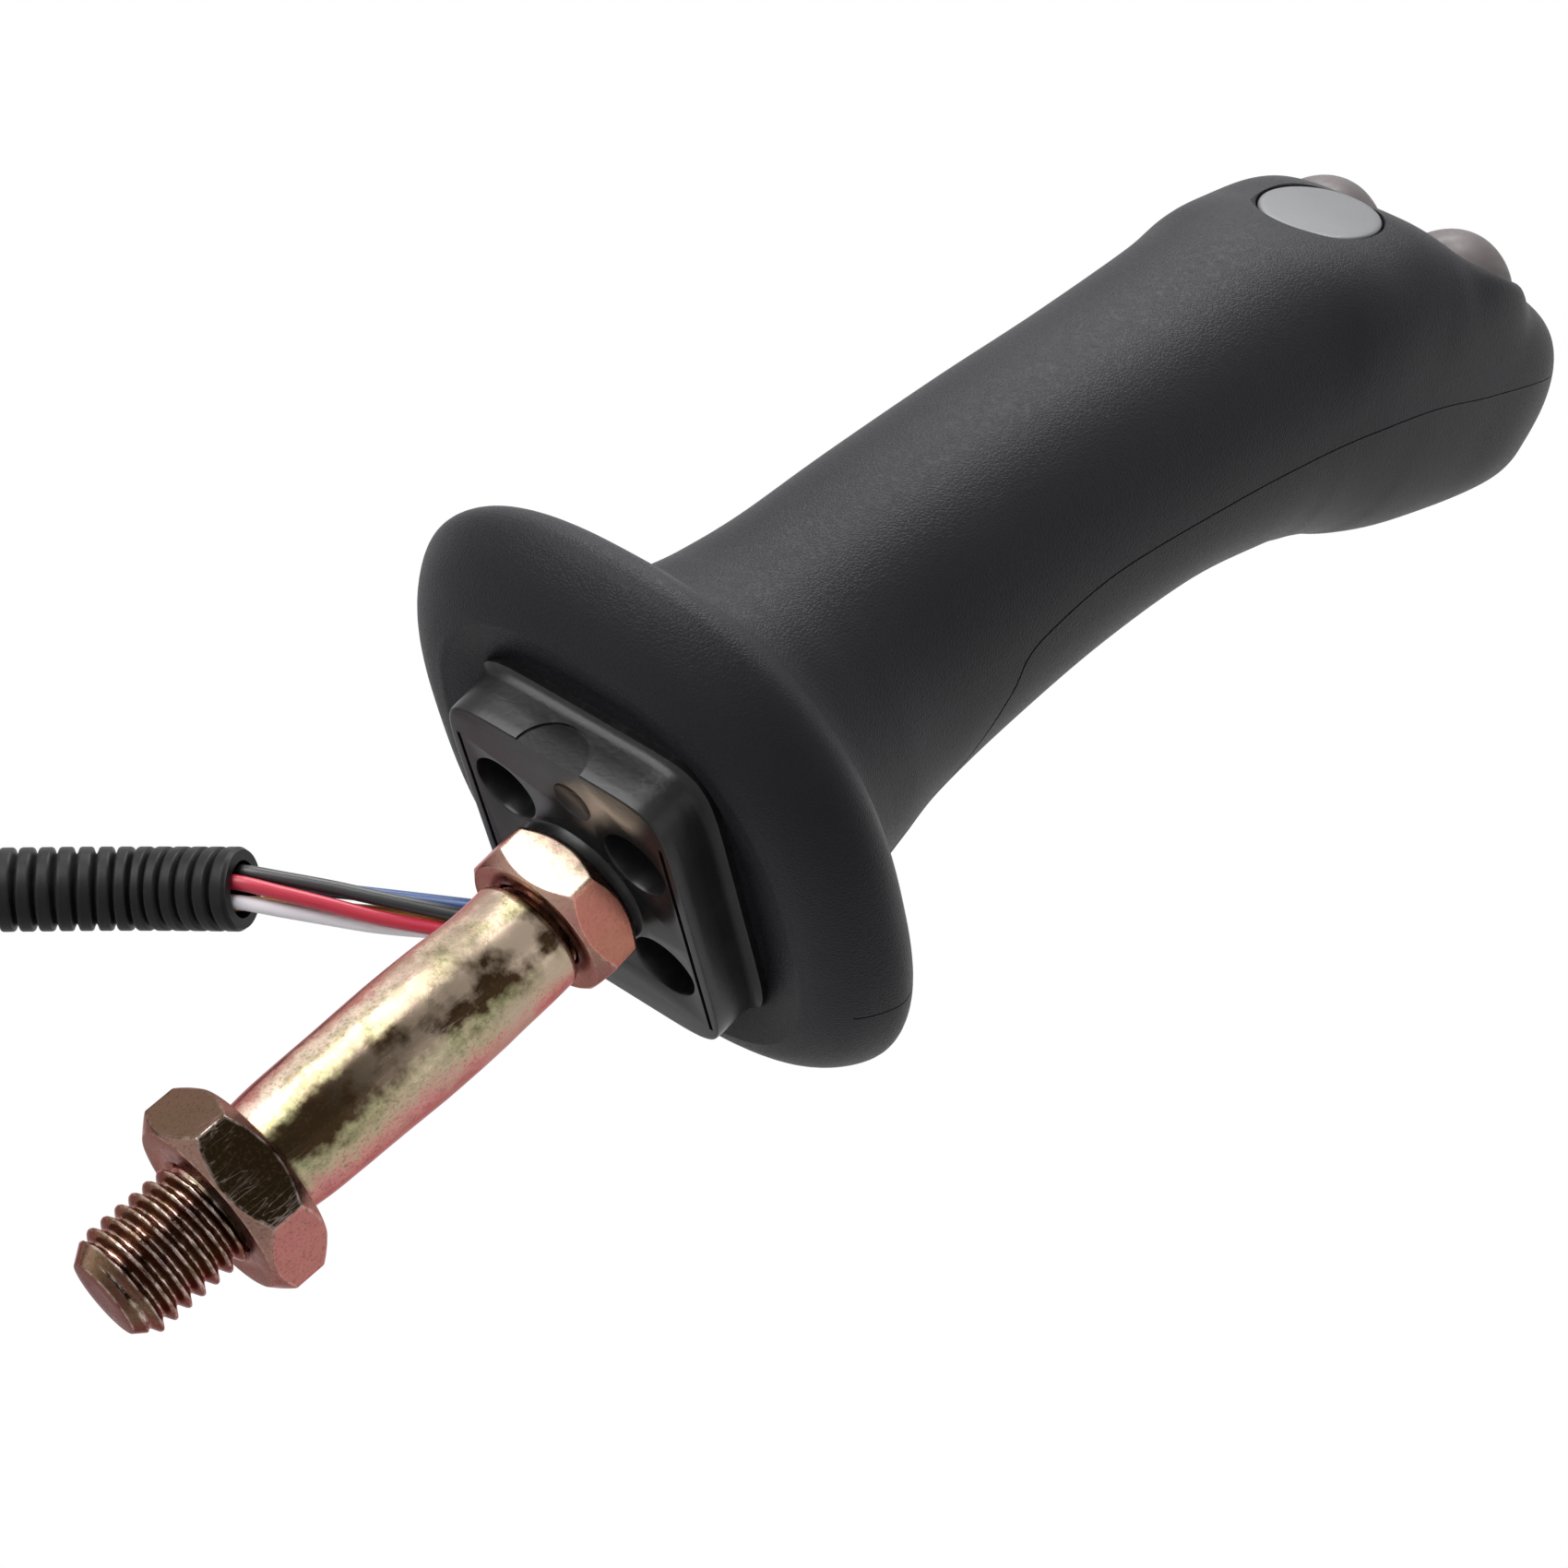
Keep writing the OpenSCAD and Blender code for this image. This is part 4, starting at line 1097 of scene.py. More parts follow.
    def outside(self) -> Form:
        """The whole outer form, with its rounded nose."""
        stations = np.array(self.flange_stations() + self.grip_stations())
        low = smooth_through(stations[:12], 4)
        rows = list(low[:-1]) + list(smooth_through(stations[11:], 9))
        rings = [self.ring(r, 0, self.sides) for r in rows]
        last = rows[-1]
        steps, lean = 6, math.radians(last[5])
        for k in range(1, steps + 1):
            turn = k / steps * math.pi / 2
            row = last.copy()
            row[2:5] *= math.cos(turn)
            row[1] += math.sin(turn) * math.sin(lean)
            row[0] += math.sin(turn) * math.cos(lean)
            nose = k == steps
            rings.append(np.array([[0, row[1], row[0]]]) if nose else self.ring(row, 0, self.sides))
        for button in self.buttons:
            if button.dome:
                rings = [button.seated(r) for r in rings]
        return Form.skinned(rings)

    def cavity(self) -> Form:
        """The hollow inside."""
        w, f, z = self.flange_w, self.flange_l, self.flange_z
        rows = [
            (self.floor_z + self.wall, -0.3, w - 4, f - 4, f - 4, 0, 2.5, 2.5),
            (z + 9.6, -0.3, w - 1, f - 1.6, f - 1, 0, 2.5, 2.5),
            (z + 12.6, 0.2, w - 6.4, f - 7, f - 6.8, 0, 2.5, 2.5),
            (z + 15.8, 1.2, w - 12.6, f - 14.4, f - 14.6, 0, 2.4, 2.4),
            *self.grip_stations()[:-2],
        ]
        return Form.skinned([self.ring(r, self.wall, 64) for r in rows])

    def recess(self) -> Form:
        """The dish under the flange that the base plate stands in."""
        z = self.flange_z
        steps = np.array([
            (z - 1, 3.2), (z - 0.2, 1.6), (z + 0.05, 0.2), (z + 0.25, -1.6), (z + 0.7, -3.6),
            (z + 1.2, -5), (self.floor_z, -6.2),
        ])  # fmt: skip
        half_w, half_l = self.flange_w - 10, self.flange_l - 10
        rings = []
        for at, grow in smooth_through(steps, 3):
            square = 2.6 - grow / 12
            reach = half_l + grow
            station = (at, -0.3, half_w + grow, reach, reach, 0, square, square)
            rings.append(self.ring(station, 0, 160))
        return Form.skinned(rings)

    def cover_side(self, grow: float) -> Form:
        """The finger cover's side of the seam, as a prism along X."""
        line = smooth_through(np.array(self.seam[1:], float), 6)
        line = np.concatenate([[self.seam[0]], line])
        far_x, far_y, top = 60, 110, 190
        drop = grow * 0.6
        outline = [(y - grow, z - drop) for y, z in line]
        outline += [(far_y, top), (far_y, self.seam[0][1] - drop)]
        sides = [np.array([(x, y, z) for y, z in outline[::-1]]) for x in (-far_x, far_x)]
        return Form.skinned(sides)

    def holes(self) -> list[Form]:
        """The buttons' holes, with a small break at the edge."""
        cutters = []
        for b in self.buttons:
            r = b.diameter / 2 + self.button_gap
            profile = [
                (0, -7), (r, -7), (r, -0.35), (r + 0.1, -0.1), (r + 0.35, 0.08), (r + 0.9, 0.3),
                (r + 0.9, 6), (0, 6),
            ]  # fmt: skip
            cutters.append(Form.turned(profile, 128).placed(b.matrix()))
        return cutters

    @staticmethod
    def at_screw(screw: tuple[float, float, float]) -> Matrix:
        """The place of a screw through the cover."""
        y, z, lean = screw
        return shift(0, y, z) @ spin(-90 - lean, "X")

    def parting(self, sides: int = 10) -> list[Form]:
        """Fine grooves where the mould halves met, from the cover to the flange's rim."""
        cutters = []
        rows = smooth_through(np.array(self.flange_stations()[2:] + self.grip_stations()[:2]), 5)
        for side in (-1, 1):
            route = []
            for z, y, half, front, _, lean, ahead, _ in rows:
                at = 14.0 + 3.0 * min(1.0, max(0.0, (z - 20) / 25)) - y
                share = min(0.98, abs(at) / front)
                x = half * (1 - share**ahead) ** (1 / ahead)
                t = math.radians(lean)
                route.append((side * x, y + at * math.cos(t), z - at * math.sin(t)))
            cutters.append(Form.skinned(tube_rings(np.array(route), 0.16, sides)))
        return cutters

    def body_form(self) -> Form:
        """The grip body, hollow, with its bosses."""
        thumb = self.buttons[0]
        low = self.floor_z + 0.4
        plate_bosses = [shift(0, y) for y in self.plate_screw_y]
        carrier_bosses = [thumb.matrix() @ shift(x, 0) for x in (-12.6, 12.6)]
        cover_bosses = [self.at_screw(screw) for screw in self.cover_screws]
        cable = shift(-15.5, 20.5)
        form = self.outside().less(
            self.cavity(), self.recess(), *self.holes(), self.cover_side(0), *self.parting()
        )
        form = form.joined(
            Form.drum(28, low, 26),
            *(Form.drum(8, low, 20).placed(m) for m in plate_bosses),
            *(Form.drum(5.4, -18.4, -4.4).placed(m) for m in carrier_bosses),
            *(Form.drum(7.5, 1.4 - self.half_d, -1.0).placed(m) for m in cover_bosses),
        )
        return form.less(
            Form.drum(13, 7, 31),
            Form.drum(20, 10, 33),
            Form.drum(7, 7, 11.6).placed(cable),
            Form.drum(11.4, 5, 8.0).placed(cable),
            *(Form.drum(3.4, 7, 18).placed(m) for m in plate_bosses),
            *(Form.drum(2.6, -19.4, -9.4).placed(m) for m in carrier_bosses),
            *(Form.drum(2.6, -14, 1).placed(m) for m in cover_bosses),
        )

    def cover_form(self) -> Form:
        """The finger cover with its screw wells."""
        wells = [self.at_screw(screw) for screw in self.cover_screws]
        deep = self.half_d
        form = self.outside().with_form(self.cover_side(-self.seam_gap), Cut.KEEP)
        hollow = self.cavity().less(*(Form.drum(7.5, -0.7, deep + 5.3).placed(m) for m in wells))
        form = form.less(hollow)
        for well in wells:
            form = form.less(
                Form.drum(3.4, -2, deep + 8).placed(well),
                Form.drum(6.4, deep - 6, deep + 14).placed(well),
            )
        return form.less(*self.holes())

    def build(self, datum: Datum, grip: bpy.types.Material, cover: bpy.types.Material) -> None:
        """Builds and dresses both mouldings."""
        rows = (
            ("grip_moulding", self.body_form(), grip, "grip_body"),
            ("cover_moulding", self.cover_form(), cover, "finger_cover"),
        )
        for name, form, finish, node in rows:
            piece = new_piece(name, form.placed(datum.matrix()).mesh, 26)
            finish_piece(piece, finish, Body.GRIP, "grip_black", [node])


# ---------------------------------------------------------------- base plate


@dataclass
class BasePlate:
    """The plate that the grip is bolted down by."""

    width: float = 35.0
    length: float = 44.6
    thickness: float = 8.0
    centre_y: float = -0.2
    foot: float = 0.9
    hole_x: float = 20.5
    hole_y: float = 19.5
    hole_d: float = 9.0
    boss_d: float = 18.0
    boss_h: float = 1.8
    screw_head_d: float = 6.9
    screw_hole_d: float = 4.0
    screw_pocket: tuple[float, float] = (1.1, 5.2)
    recess_d: float = 10.0
    recess_deep: float = 0.25
    dimple: tuple[float, float] = (2.2, -15.9)
    sides: int = 200

    def loop(self, grow: float, z: float) -> np.ndarray:
        """The plate's outline, grown, at one height."""
        half_w, half_l = self.width / 2 + grow, self.length / 2 + grow
        flat = even_loop(half_w, half_l, half_l, (7.5, 7.5), self.sides)
        return np.stack([flat[:, 0], flat[:, 1] + self.centre_y, np.full(len(flat), z)], 1)

    def form(self) -> Form:
        """The plate with its holes, boss, screw pockets and rib grooves."""
        top = self.thickness
        wall = [
            (-0.4, 0.0), (-0.18, 0.04), (-0.05, 0.14), (0.0, 0.34), (0.05, 1.5), (0.1, 4.0),
            (0.2, 5.4), (0.36, 6.2), (0.62, 6.7), (self.foot, 7.0), (self.foot, top),
        ]  # fmt: skip
        form = Form.skinned([self.loop(grow, z) for grow, z in wall])
        r = self.boss_d / 2
        end = -self.boss_h
        boss = [
            (0, end), (r - 0.3, end), (r, end + 0.3), (r, -0.5), (r + 0.15, -0.2), (r + 0.6, 0.0),
            (r + 0.6, 1.0), (0, 1.0),
        ]  # fmt: skip
        form = form.joined(Form.turned(boss, 128))
        form = form.less(Form.drum(12.6, -4, 10, 96))
        hole = self.hole_d / 2
        bore = [
            (0, -2), (hole + 0.5, -2), (hole + 0.45, 0.0), (hole + 0.15, 0.15), (hole, 0.5),
            (hole, 12), (0, 12),
        ]  # fmt: skip
        for i in (-1, 1):
            for j in (-1, 1):
                spot = shift(i * self.hole_x / 2, j * self.hole_y / 2)
                form = form.less(Form.turned(bore, 96).placed(spot))
        reach = self.length / 2 - 4
        for y in (self.centre_y - reach, self.centre_y + reach):
            head = Form.drum(self.screw_head_d, *self.screw_pocket, 64)
            shaft = Form.drum(self.screw_hole_d, 4, 10, 64)
            form = form.less(head.placed(shift(0, y)), shaft.placed(shift(0, y)))
        outer = self.length / 2 - self.centre_y
        recess = Form.drum(self.recess_d, outer - self.recess_deep, outer + 2, 64)
        form = form.less(recess.placed(spin(90, "X")))
        form = form.less(Form.drum(11.4, -2, 10, 96).placed(shift(-15.5, 20.5)))
        low, high = self.centre_y - self.length / 2 + 6, self.centre_y + self.length / 2 - 4
        for i in (-1, 1):
            x = i * (self.width / 2 - 1.6)
            form = form.less(Form.block((x - 0.3, low, -0.5), (x + 0.3, high, 1.2)))
        dimple = [(0, -1), (2.9, -1), (2.8, 0.0), (2.4, 0.3), (1.2, 0.55), (0, 0.6)]
        return form.less(Form.turned(dimple, 64).placed(shift(*self.dimple)))

    def build(self, datum: Datum, finish: bpy.types.Material) -> None:
        """Builds and dresses the plate."""
        piece = new_piece("base_plate", self.form().placed(datum.matrix()).mesh, 34)
        finish_piece(piece, finish, Body.GRIP, "plate_black", ["mounting_plate"])


# ---------------------------------------------------------------- stem and nuts


@dataclass
class Stem:
    """The bent stem with its threaded stud, and the two hexagon nuts on it."""

    boss_h: float = 1.8
    upper_nut_h: float = 7.0
    upper_nut_af: float = 19.6
    lower_nut_h: float = 8.0
    lower_nut_af: float = 22.8
    neck: float = 5.4
    shank: float = 36.5
    bend_deg: float = 5.0
    bend_azimuth: float = 187.6
    shank_d: float = 16.0
    stud_d: float = 14.0
    stud_l: float = 15.0
    upper_stud_d: float = 12.0
    pitch: float = 2.0
    thread_depth: float = 1.15
    upper_nut_turn: float = -172.8
    lower_nut_turn: float = 34.4
    nut_chamfer: float = 44.0
    tip_chamfer: float = 2.7
    sides: int = 96

    @property
    def bend_z(self) -> float:
        """Height of the bend."""
        return -self.boss_h - self.upper_nut_h - 0.6 - self.neck

    def shank_matrix(self) -> Matrix:
        """From the lower axis, with z = 0 at the bend, to the drawing's frame."""
        way = math.radians(self.bend_azimuth)
        lean = math.radians(self.bend_deg)
        return (
            Matrix.Translation((0, 0, self.bend_z))
            @ Matrix.Rotation(way, 4, "Z")
            @ Matrix.Rotation(-lean, 4, "Y")
            @ Matrix.Rotation(-way, 4, "Z")
        )

    def middle(self, run: float) -> np.ndarray:
        """A point of the middle line, run millimetres below the bend."""
        soft = 3.5
        below = self.shank_matrix()
        if run <= -soft:
            return np.array([0, 0, self.bend_z - run])
        if run >= soft:
            return np.array(below @ Vector((0, 0, -run)))
        t = (run + soft) / (2 * soft)
        a, b = np.array([0, 0, self.bend_z + soft]), np.array([0, 0, self.bend_z])
        c = np.array(below @ Vector((0, 0, -soft)))
        return (1 - t) ** 2 * a + 2 * t * (1 - t) * b + t * t * c

    def profile(self) -> list[tuple[float, float]]:
        """Run below the bend and radius, from the top to the stud's thread."""
        top, low, core = self.shank_d / 2 - 0.4, self.stud_d / 2 + 0.4, self.stud_d / 2 - 0.8
        nut = self.bend_z + self.boss_h + self.upper_nut_h
        shoulder, end = -self.neck, self.shank
        r, stud = self.shank_d / 2, self.upper_stud_d / 2
        rows = [
            (self.bend_z - 23, stud - 1), (self.bend_z - 22, stud), (nut - 0.4, stud),
            (nut + 0.2, stud - 0.8), (shoulder, stud - 0.8), (shoulder, top - 0.9),
            (shoulder + 0.1, top - 0.55), (shoulder + 0.3, top - 0.25),
            (shoulder + 0.65, top - 0.06), (shoulder + 1.1, top),
        ]  # fmt: skip
        body = np.array([
            (shoulder + 1.1, top), (-1.5, top), (2.5, top + 0.05), (end * 0.2, r - 0.1),
            (end * 0.4, r), (end * 0.6, r - 0.15), (end * 0.85, low + 0.3), (end - 1.2, low),
        ])  # fmt: skip
        rows += [tuple(row) for row in smooth_through(body, 8)[1:]]
        rows += [
            (end - 0.7, low - 0.08), (end - 0.35, low - 0.3), (end - 0.1, low - 0.65),
            (end, low - 0.9), (end, core),
        ]  # fmt: skip
        return rows

    def form(self) -> Form:
        """The stem, with a helical thread that runs out at its chamfered tip."""
        turn = np.linspace(0, 2 * np.pi, self.sides, endpoint=False)
        face = self.shank + self.lower_nut_h
        tip = face + self.stud_l
        rows = [(run, np.full(self.sides, r)) for run, r in self.profile()]
        crest, core = self.stud_d / 2 - 0.05, self.stud_d / 2 - 0.8
        steps = int((tip - self.shank - 0.6) / (self.pitch / 14))
        for run in np.linspace(self.shank + 0.6, tip, steps):
            phase = ((run / self.pitch - turn / (2 * np.pi)) % 1.0 - 0.5) * 2
            rise = np.clip(1.16 - 1.32 * np.abs(phase), 0.0, 1.0)
            thread = crest - self.thread_depth * (1 - eased(rise) * 0.35 - rise * 0.65)
            inside = float(eased(np.array((run - face + 0.2) / 0.7)))
            r = core + (thread - core) * inside
            chamfer = (self.stud_d / 2 - 2.0) + 2.0 * (tip - run) / self.tip_chamfer
            rows.append((run, np.minimum(r, chamfer)))
        last = self.stud_d / 2 - 2.0
        rows += [(tip + 0.06, np.full(self.sides, r)) for r in (last - 0.25, last * 0.5)]
        rings: list[np.ndarray] = []
        for run, r in rows:
            share = float(eased(np.array((run + 3.5) / 7)))
            tilt = Matrix.Identity(3).lerp(self.shank_matrix().to_3x3(), share)
            flat = np.stack([r * np.cos(turn), -r * np.sin(turn), np.zeros(self.sides)], 1)
            rings.append(flat @ np.array(tilt).T + self.middle(run))
        end = self.middle(tip + 0.06)
        start = self.middle(rows[0][0])
        return Form.skinned([start.reshape(1, 3), *rings, end.reshape(1, 3)])

    @staticmethod
    def nut_form(
        across: float, height: float, bore: float, chamfer: float, sides: int = 360
    ) -> Form:
        """A hexagon nut from z = 0 down, with soft corners and a chamfer at each end.

        Args:
            across: Width across flats.
            height: Its height.
            bore: Diameter of its bore.
            chamfer: Angle of its end chamfers, in degrees.
            sides: Points round it.

        Returns:
            The nut.
        """
        turn = np.linspace(0, 2 * np.pi, sides, endpoint=False)
        flat = across / 2 / np.cos((turn % (np.pi / 3)) - np.pi / 6)
        corner = across / math.sqrt(3) - 0.12
        flat = soft_least(flat, np.full(sides, corner), 0.2)
        slope = 1 / math.tan(math.radians(chamfer))
        end = 2.4
        depths = np.concatenate([
            np.linspace(0, end, 26), np.linspace(end, height - end, 8)[1:-1],
            np.linspace(height - end, height, 26),
        ])  # fmt: skip
        start = across / 2 - 0.45
        mouth = bore / 2
        under = [
            (mouth, -height + 1.0), (mouth + 0.2, -height + 0.5), (mouth + 1.0, -height),
            (start - 0.5, -height), (start - 0.15, -height + 0.02),
        ]  # fmt: skip
        over = [
            (start - 0.15, -0.02), (start - 0.5, 0), (mouth + 1.0, 0), (mouth + 0.2, -0.5),
            (mouth, -1.0),
        ]  # fmt: skip
        rings = [level_ring(r, z, sides) for r, z in under]
        for depth in depths[::-1]:
            cone = start + 0.05 + min(depth, height - depth) * slope
            r = soft_least(flat, np.full(sides, cone), 0.16)
            r = np.minimum(r, flat)
            rings.append(level_ring(r, -max(0.06, min(height - 0.06, depth)), sides))
        rings += [level_ring(r, z, sides) for r, z in over]
        points = np.concatenate(rings)
        count = len(rings)
        faces = []
        for i in range(count):
            low, high = i * sides, ((i + 1) % count) * sides
            for j in range(sides):
                k = (j + 1) % sides
                faces.append((low + j, low + k, high + k, high + j))
        return Form.of_faces(points, faces)

    def build(self, datum: Datum, finishes: dict[str, bpy.types.Material]) -> None:
        """Builds and dresses the stem and both nuts."""
        piece = new_piece("bent_stem", self.form().placed(datum.matrix()).mesh, 42)
        finish_piece(piece, finishes["stem"], Body.GRIP, "passivated_steel", ["stem"])
        bore = self.upper_stud_d + 0.1
        upper = self.nut_form(self.upper_nut_af, self.upper_nut_h, bore, self.nut_chamfer)
        upper.placed(shift(0, 0, -self.boss_h) @ spin(self.upper_nut_turn, "Z"))
        piece = new_piece("flange_nut", upper.placed(datum.matrix()).mesh, 45)
        finish_piece(piece, finishes["upper_nut"], Body.GRIP, "passivated_steel", ["upper_nut"])
        bore = self.stud_d - 1.5
        lower = self.nut_form(self.lower_nut_af, self.lower_nut_h, bore, self.nut_chamfer)
        seat = shift(0, 0, -self.shank) @ spin(self.lower_nut_turn, "Z")
        lower.placed(self.shank_matrix() @ seat)
        piece = new_piece("stud_nut", lower.placed(datum.matrix()).mesh, 45)
        finish_piece(piece, finishes["lower_nut"], Body.GRIP, "passivated_steel", ["lower_nut"])


# ---------------------------------------------------------------- buttons


@dataclass
class Buttons:
    """The caps of the thumb button and the two domed buttons."""

    caps: tuple[Button, ...]
    rim: float = 3.0
    hub_d: float = 6.0
    hub_low: float = -5.4
    spring_d: float = 10.0
    spring_wire: float = 0.8
    spring_turns: int = 4
    spring_seat: float = -9
    spring_top: float = -1.8
    travel: float = 2.0

    def cap_form(self, button: Button) -> Form:
        """A cap with its skirt and hub, turned on its axis."""
        r = button.diameter / 2
        hub = self.hub_d / 2
        under = [
            (0, self.hub_low), (hub, self.hub_low), (hub, -1.8), (r - 1.5, -1.8),
            (r - 1.5, -self.rim), (r, -self.rim),
        ]  # fmt: skip
        if button.dome:
            side = [(r, -0.3), (r - 0.05, -0.12), (r - 0.15, -0.02)]
            for k in range(1, 32):
                share = 1 - k / 32
                side.append(((r - 0.2) * share, button.dome * (1 - share**2) ** 0.85))
            side.append((0, button.dome))
        else:
            flat = r - 0.55
            side = [(r, -0.5), (r - 0.04, -0.3), (r - 0.14, -0.14), (r - 0.3, -0.04), (flat, 0.02)]
            shares = [1 - k / 12 for k in range(1, 12)]
            side += [(flat * share, 0.02 + 0.22 * (1 - share**2)) for share in shares]
            side.append((0, 0.24))
        return Form.turned(under + side, 144)

    def spring_form(self) -> Form:
        """A return spring in its button's frame, as long as it is at rest."""
        share = np.linspace(0, 1, self.spring_turns * 40 + 1)
        turn = (share * self.spring_turns + 0.25) * 2 * np.pi
        r = (self.spring_d - self.spring_wire) / 2
        half = self.spring_wire / 2
        z = self.spring_seat + half + share * (self.spring_top - self.spring_seat - 2 * half)
        line = np.stack([r * np.cos(turn), r * np.sin(turn), z], 1)
        return Form.skinned(tube_rings(line, half, 12))

    def add_spring(self, datum: Datum, button: Button, steel: bpy.types.Material) -> None:
        """Puts in its button's return spring."""
        matrix = datum.matrix() @ button.matrix()
        piece = new_piece(f"{button.name}_coil", self.spring_form().placed(matrix).mesh, 60)
        finish_piece(piece, steel, Body.GRIP, "spring_steel", [f"{button.name}_spring"])
        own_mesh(piece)

    def build(
        self,
        datum: Datum,
        grey: bpy.types.Material,
        smoke: bpy.types.Material,
        steel: bpy.types.Material,
    ) -> None:
        """Builds and dresses the caps and their springs."""
        for button in self.caps:
            self.add_spring(datum, button, steel)
            form = self.cap_form(button).placed(datum.matrix() @ button.matrix())
            piece = new_piece(f"{button.name}_cap", form.mesh, 34)
            finish, slot = (smoke, "dome_smoke") if button.dome else (grey, "thumb_grey")
            finish_piece(piece, finish, button.body, slot, [f"{button.name}_button"])


# ---------------------------------------------------------------- harness


@dataclass(frozen=True)
class Wire:
    """One wire of the harness."""

    name: str
    index: int
    colour: Colour


@dataclass
class Harness:
    """Five wires that go into a corrugated conduit, which hangs to its connector."""

    wire_d: float = 1.9
    conduit_d: float = 10.5
    ridge_pitch: float = 2.42
    ridge_depth: float = 0.95
    mouth_r: float = 3.6
    mouth_run: float = 7.0
    sides: int = 56
    route: tuple[tuple[float, float, float], ...] = (
        (-43.3, 12.2, -19.6), (-54.4, 13.3, -25.9), (-63.2, 11.2, -33.8), (-72, 9.1, -42),
        (-80.6, 7.5, -50.8), (-88.4, 6.2, -61), (-95, 5.2, -72.6), (-100, 4.6, -85.6),
        (-103.4, 4.2, -100), (-105.2, 4, -115), (-106, 4, -131), (-106, 4, -148),
        (-106, 4, -165), (-106, 4, -182), (-106, 4, -199), (-106, 4, -216),
        (-106, 4, -233), (-106, 4, -250),
    )  # fmt: skip
    wires: tuple[Wire, ...] = (
        Wire("blue", 4, (0.02, 0.06, 0.19)),
        Wire("red", 2, (0.42, 0.02, 0.045)),
        Wire("black", 3, (0.018, 0.018, 0.02)),
        Wire("white", 1, (0.72, 0.7, 0.74)),
        Wire("yellow", 0, (0.78, 0.36, 0.04)),
    )
    spread: tuple[float, ...] = (1.62, 1.62, 1.7, 1.8, 1.9, 2.0, 2.0, 2.0, 2.1, 2.3, 2.3)
    turn: tuple[float, ...] = (0, 0, 16, 32, 48, 64, 80, 96, 110, 116, 116)
    plug: tuple[str, ...] = (
        "conduit_sleeve",
        "connector_seal",
        "connector_housing",
        "connector_latch",
        "connector_contacts",
    )

    def bundle(self) -> np.ndarray:
        """The middle line of the five wires."""
        first, second = np.array(self.route[0]), np.array(self.route[1])
        way = (second - first) / np.linalg.norm(second - first)
        lead = [
            (-15.5, 20.5, 5.98), (-15.5, 20.5, 3), (-16.6, 20.1, -0.6), (-20.2, 19.3, -3.7),
            (-25, 18.2, -7), (-30, 16.8, -10.4), (-34.8, 15.2, -13.6), (-39.4, 13.5, -16.9),
        ]  # fmt: skip
        return np.array([*lead, first, first + 3 * way, first + (self.mouth_run - 0.02) * way])

    def wire_route(self, index: int) -> np.ndarray:
        """One wire's own way round the bundle's middle line."""
        line = self.bundle()
        route = []
        for i, point in enumerate(line):
            way = line[min(len(line) - 1, i + 1)] - line[max(0, i - 1)]
            way /= np.linalg.norm(way)
            across = np.cross([0.0, 1.0, 0.0], way)
            across /= np.linalg.norm(across)
            up = np.cross(way, across)
            a = math.radians(72 * index + self.turn[i])
            route.append(point + self.spread[i] * (math.cos(a) * across + math.sin(a) * up))
        return np.array(route)

    def conduit_form(self) -> tuple[Form, np.ndarray]:
        """The corrugated conduit with its open mouth, and its middle line."""
        line = even_route(np.array(self.route), self.ridge_pitch / 12)
        run = runs(line)
        phase = (run / self.ridge_pitch) % 1.0
        ridge = eased(np.clip((0.5 - np.abs(phase - 0.5)) / 0.21, 0, 1))
        r = self.conduit_d / 2 - self.ridge_depth * (1 - ridge)
        r[run < 0.25] = self.conduit_d / 2 - self.ridge_depth * 0.35
        rings = tube_rings(line, r, self.sides)
        shell = self.mouth_r + 0.35
        bore_line = line[run <= self.mouth_run]
        bore = tube_rings(line, self.mouth_r, self.sides)[: len(bore_line)]
        lip = tube_rings(line, shell, self.sides)[0]
        first, last = line[len(bore_line) - 1].reshape(1, 3), line[-1].reshape(1, 3)
        return Form.skinned([first, *bore[::-1], lip, *rings, last]), line

    def build(self, datum: Datum, effects: Effects, black: bpy.types.Material) -> None:
        for wire in self.wires:
            line = even_route(self.wire_route(wire.index), 1.0)
            points = datum.points(line)
            data = bpy.data.curves.new(f"lead_{wire.name}", "CURVE")
            data.dimensions, data.bevel_depth, data.bevel_resolution = "3D", self.wire_d / 2 * MM, 7
            data.use_fill_caps = True
            spline = data.splines.new("POLY")
            spline.points.add(len(points) - 1)
            for knot, p in zip(spline.points, points):
                knot.co = (*p, 1.0)
            spline.use_smooth = True
            piece = bpy.data.objects.new(f"lead_{wire.name}", data)
            bpy.context.scene.collection.objects.link(piece)
            pale = tuple(min(1.0, c * 1.5 + 0.02) for c in wire.colour)
            name = f"wire_{wire.name}"
            finish = MouldedPlastic(
                f"insulation_{wire.name}", wire.colour, pale,
                0.34, 0.45, 2600.0, 0.000008, 0.2, 0.0, 0.03, 0.25,
            )  # fmt: skip
            finish_piece(piece, finish.made(effects), Body.GRIP, name, [name])
        form, line = self.conduit_form()
        piece = new_piece("corrugated_conduit", form.placed(datum.matrix()).mesh, 50)
        finish_piece(piece, black, Body.GRIP, "conduit_black", ["conduit"])
        points = datum.points(line[::12])
        if not np.allclose(points[-1], datum.points(line[-1:])[0]):
            points = np.concatenate([points, datum.points(line[-1:])])


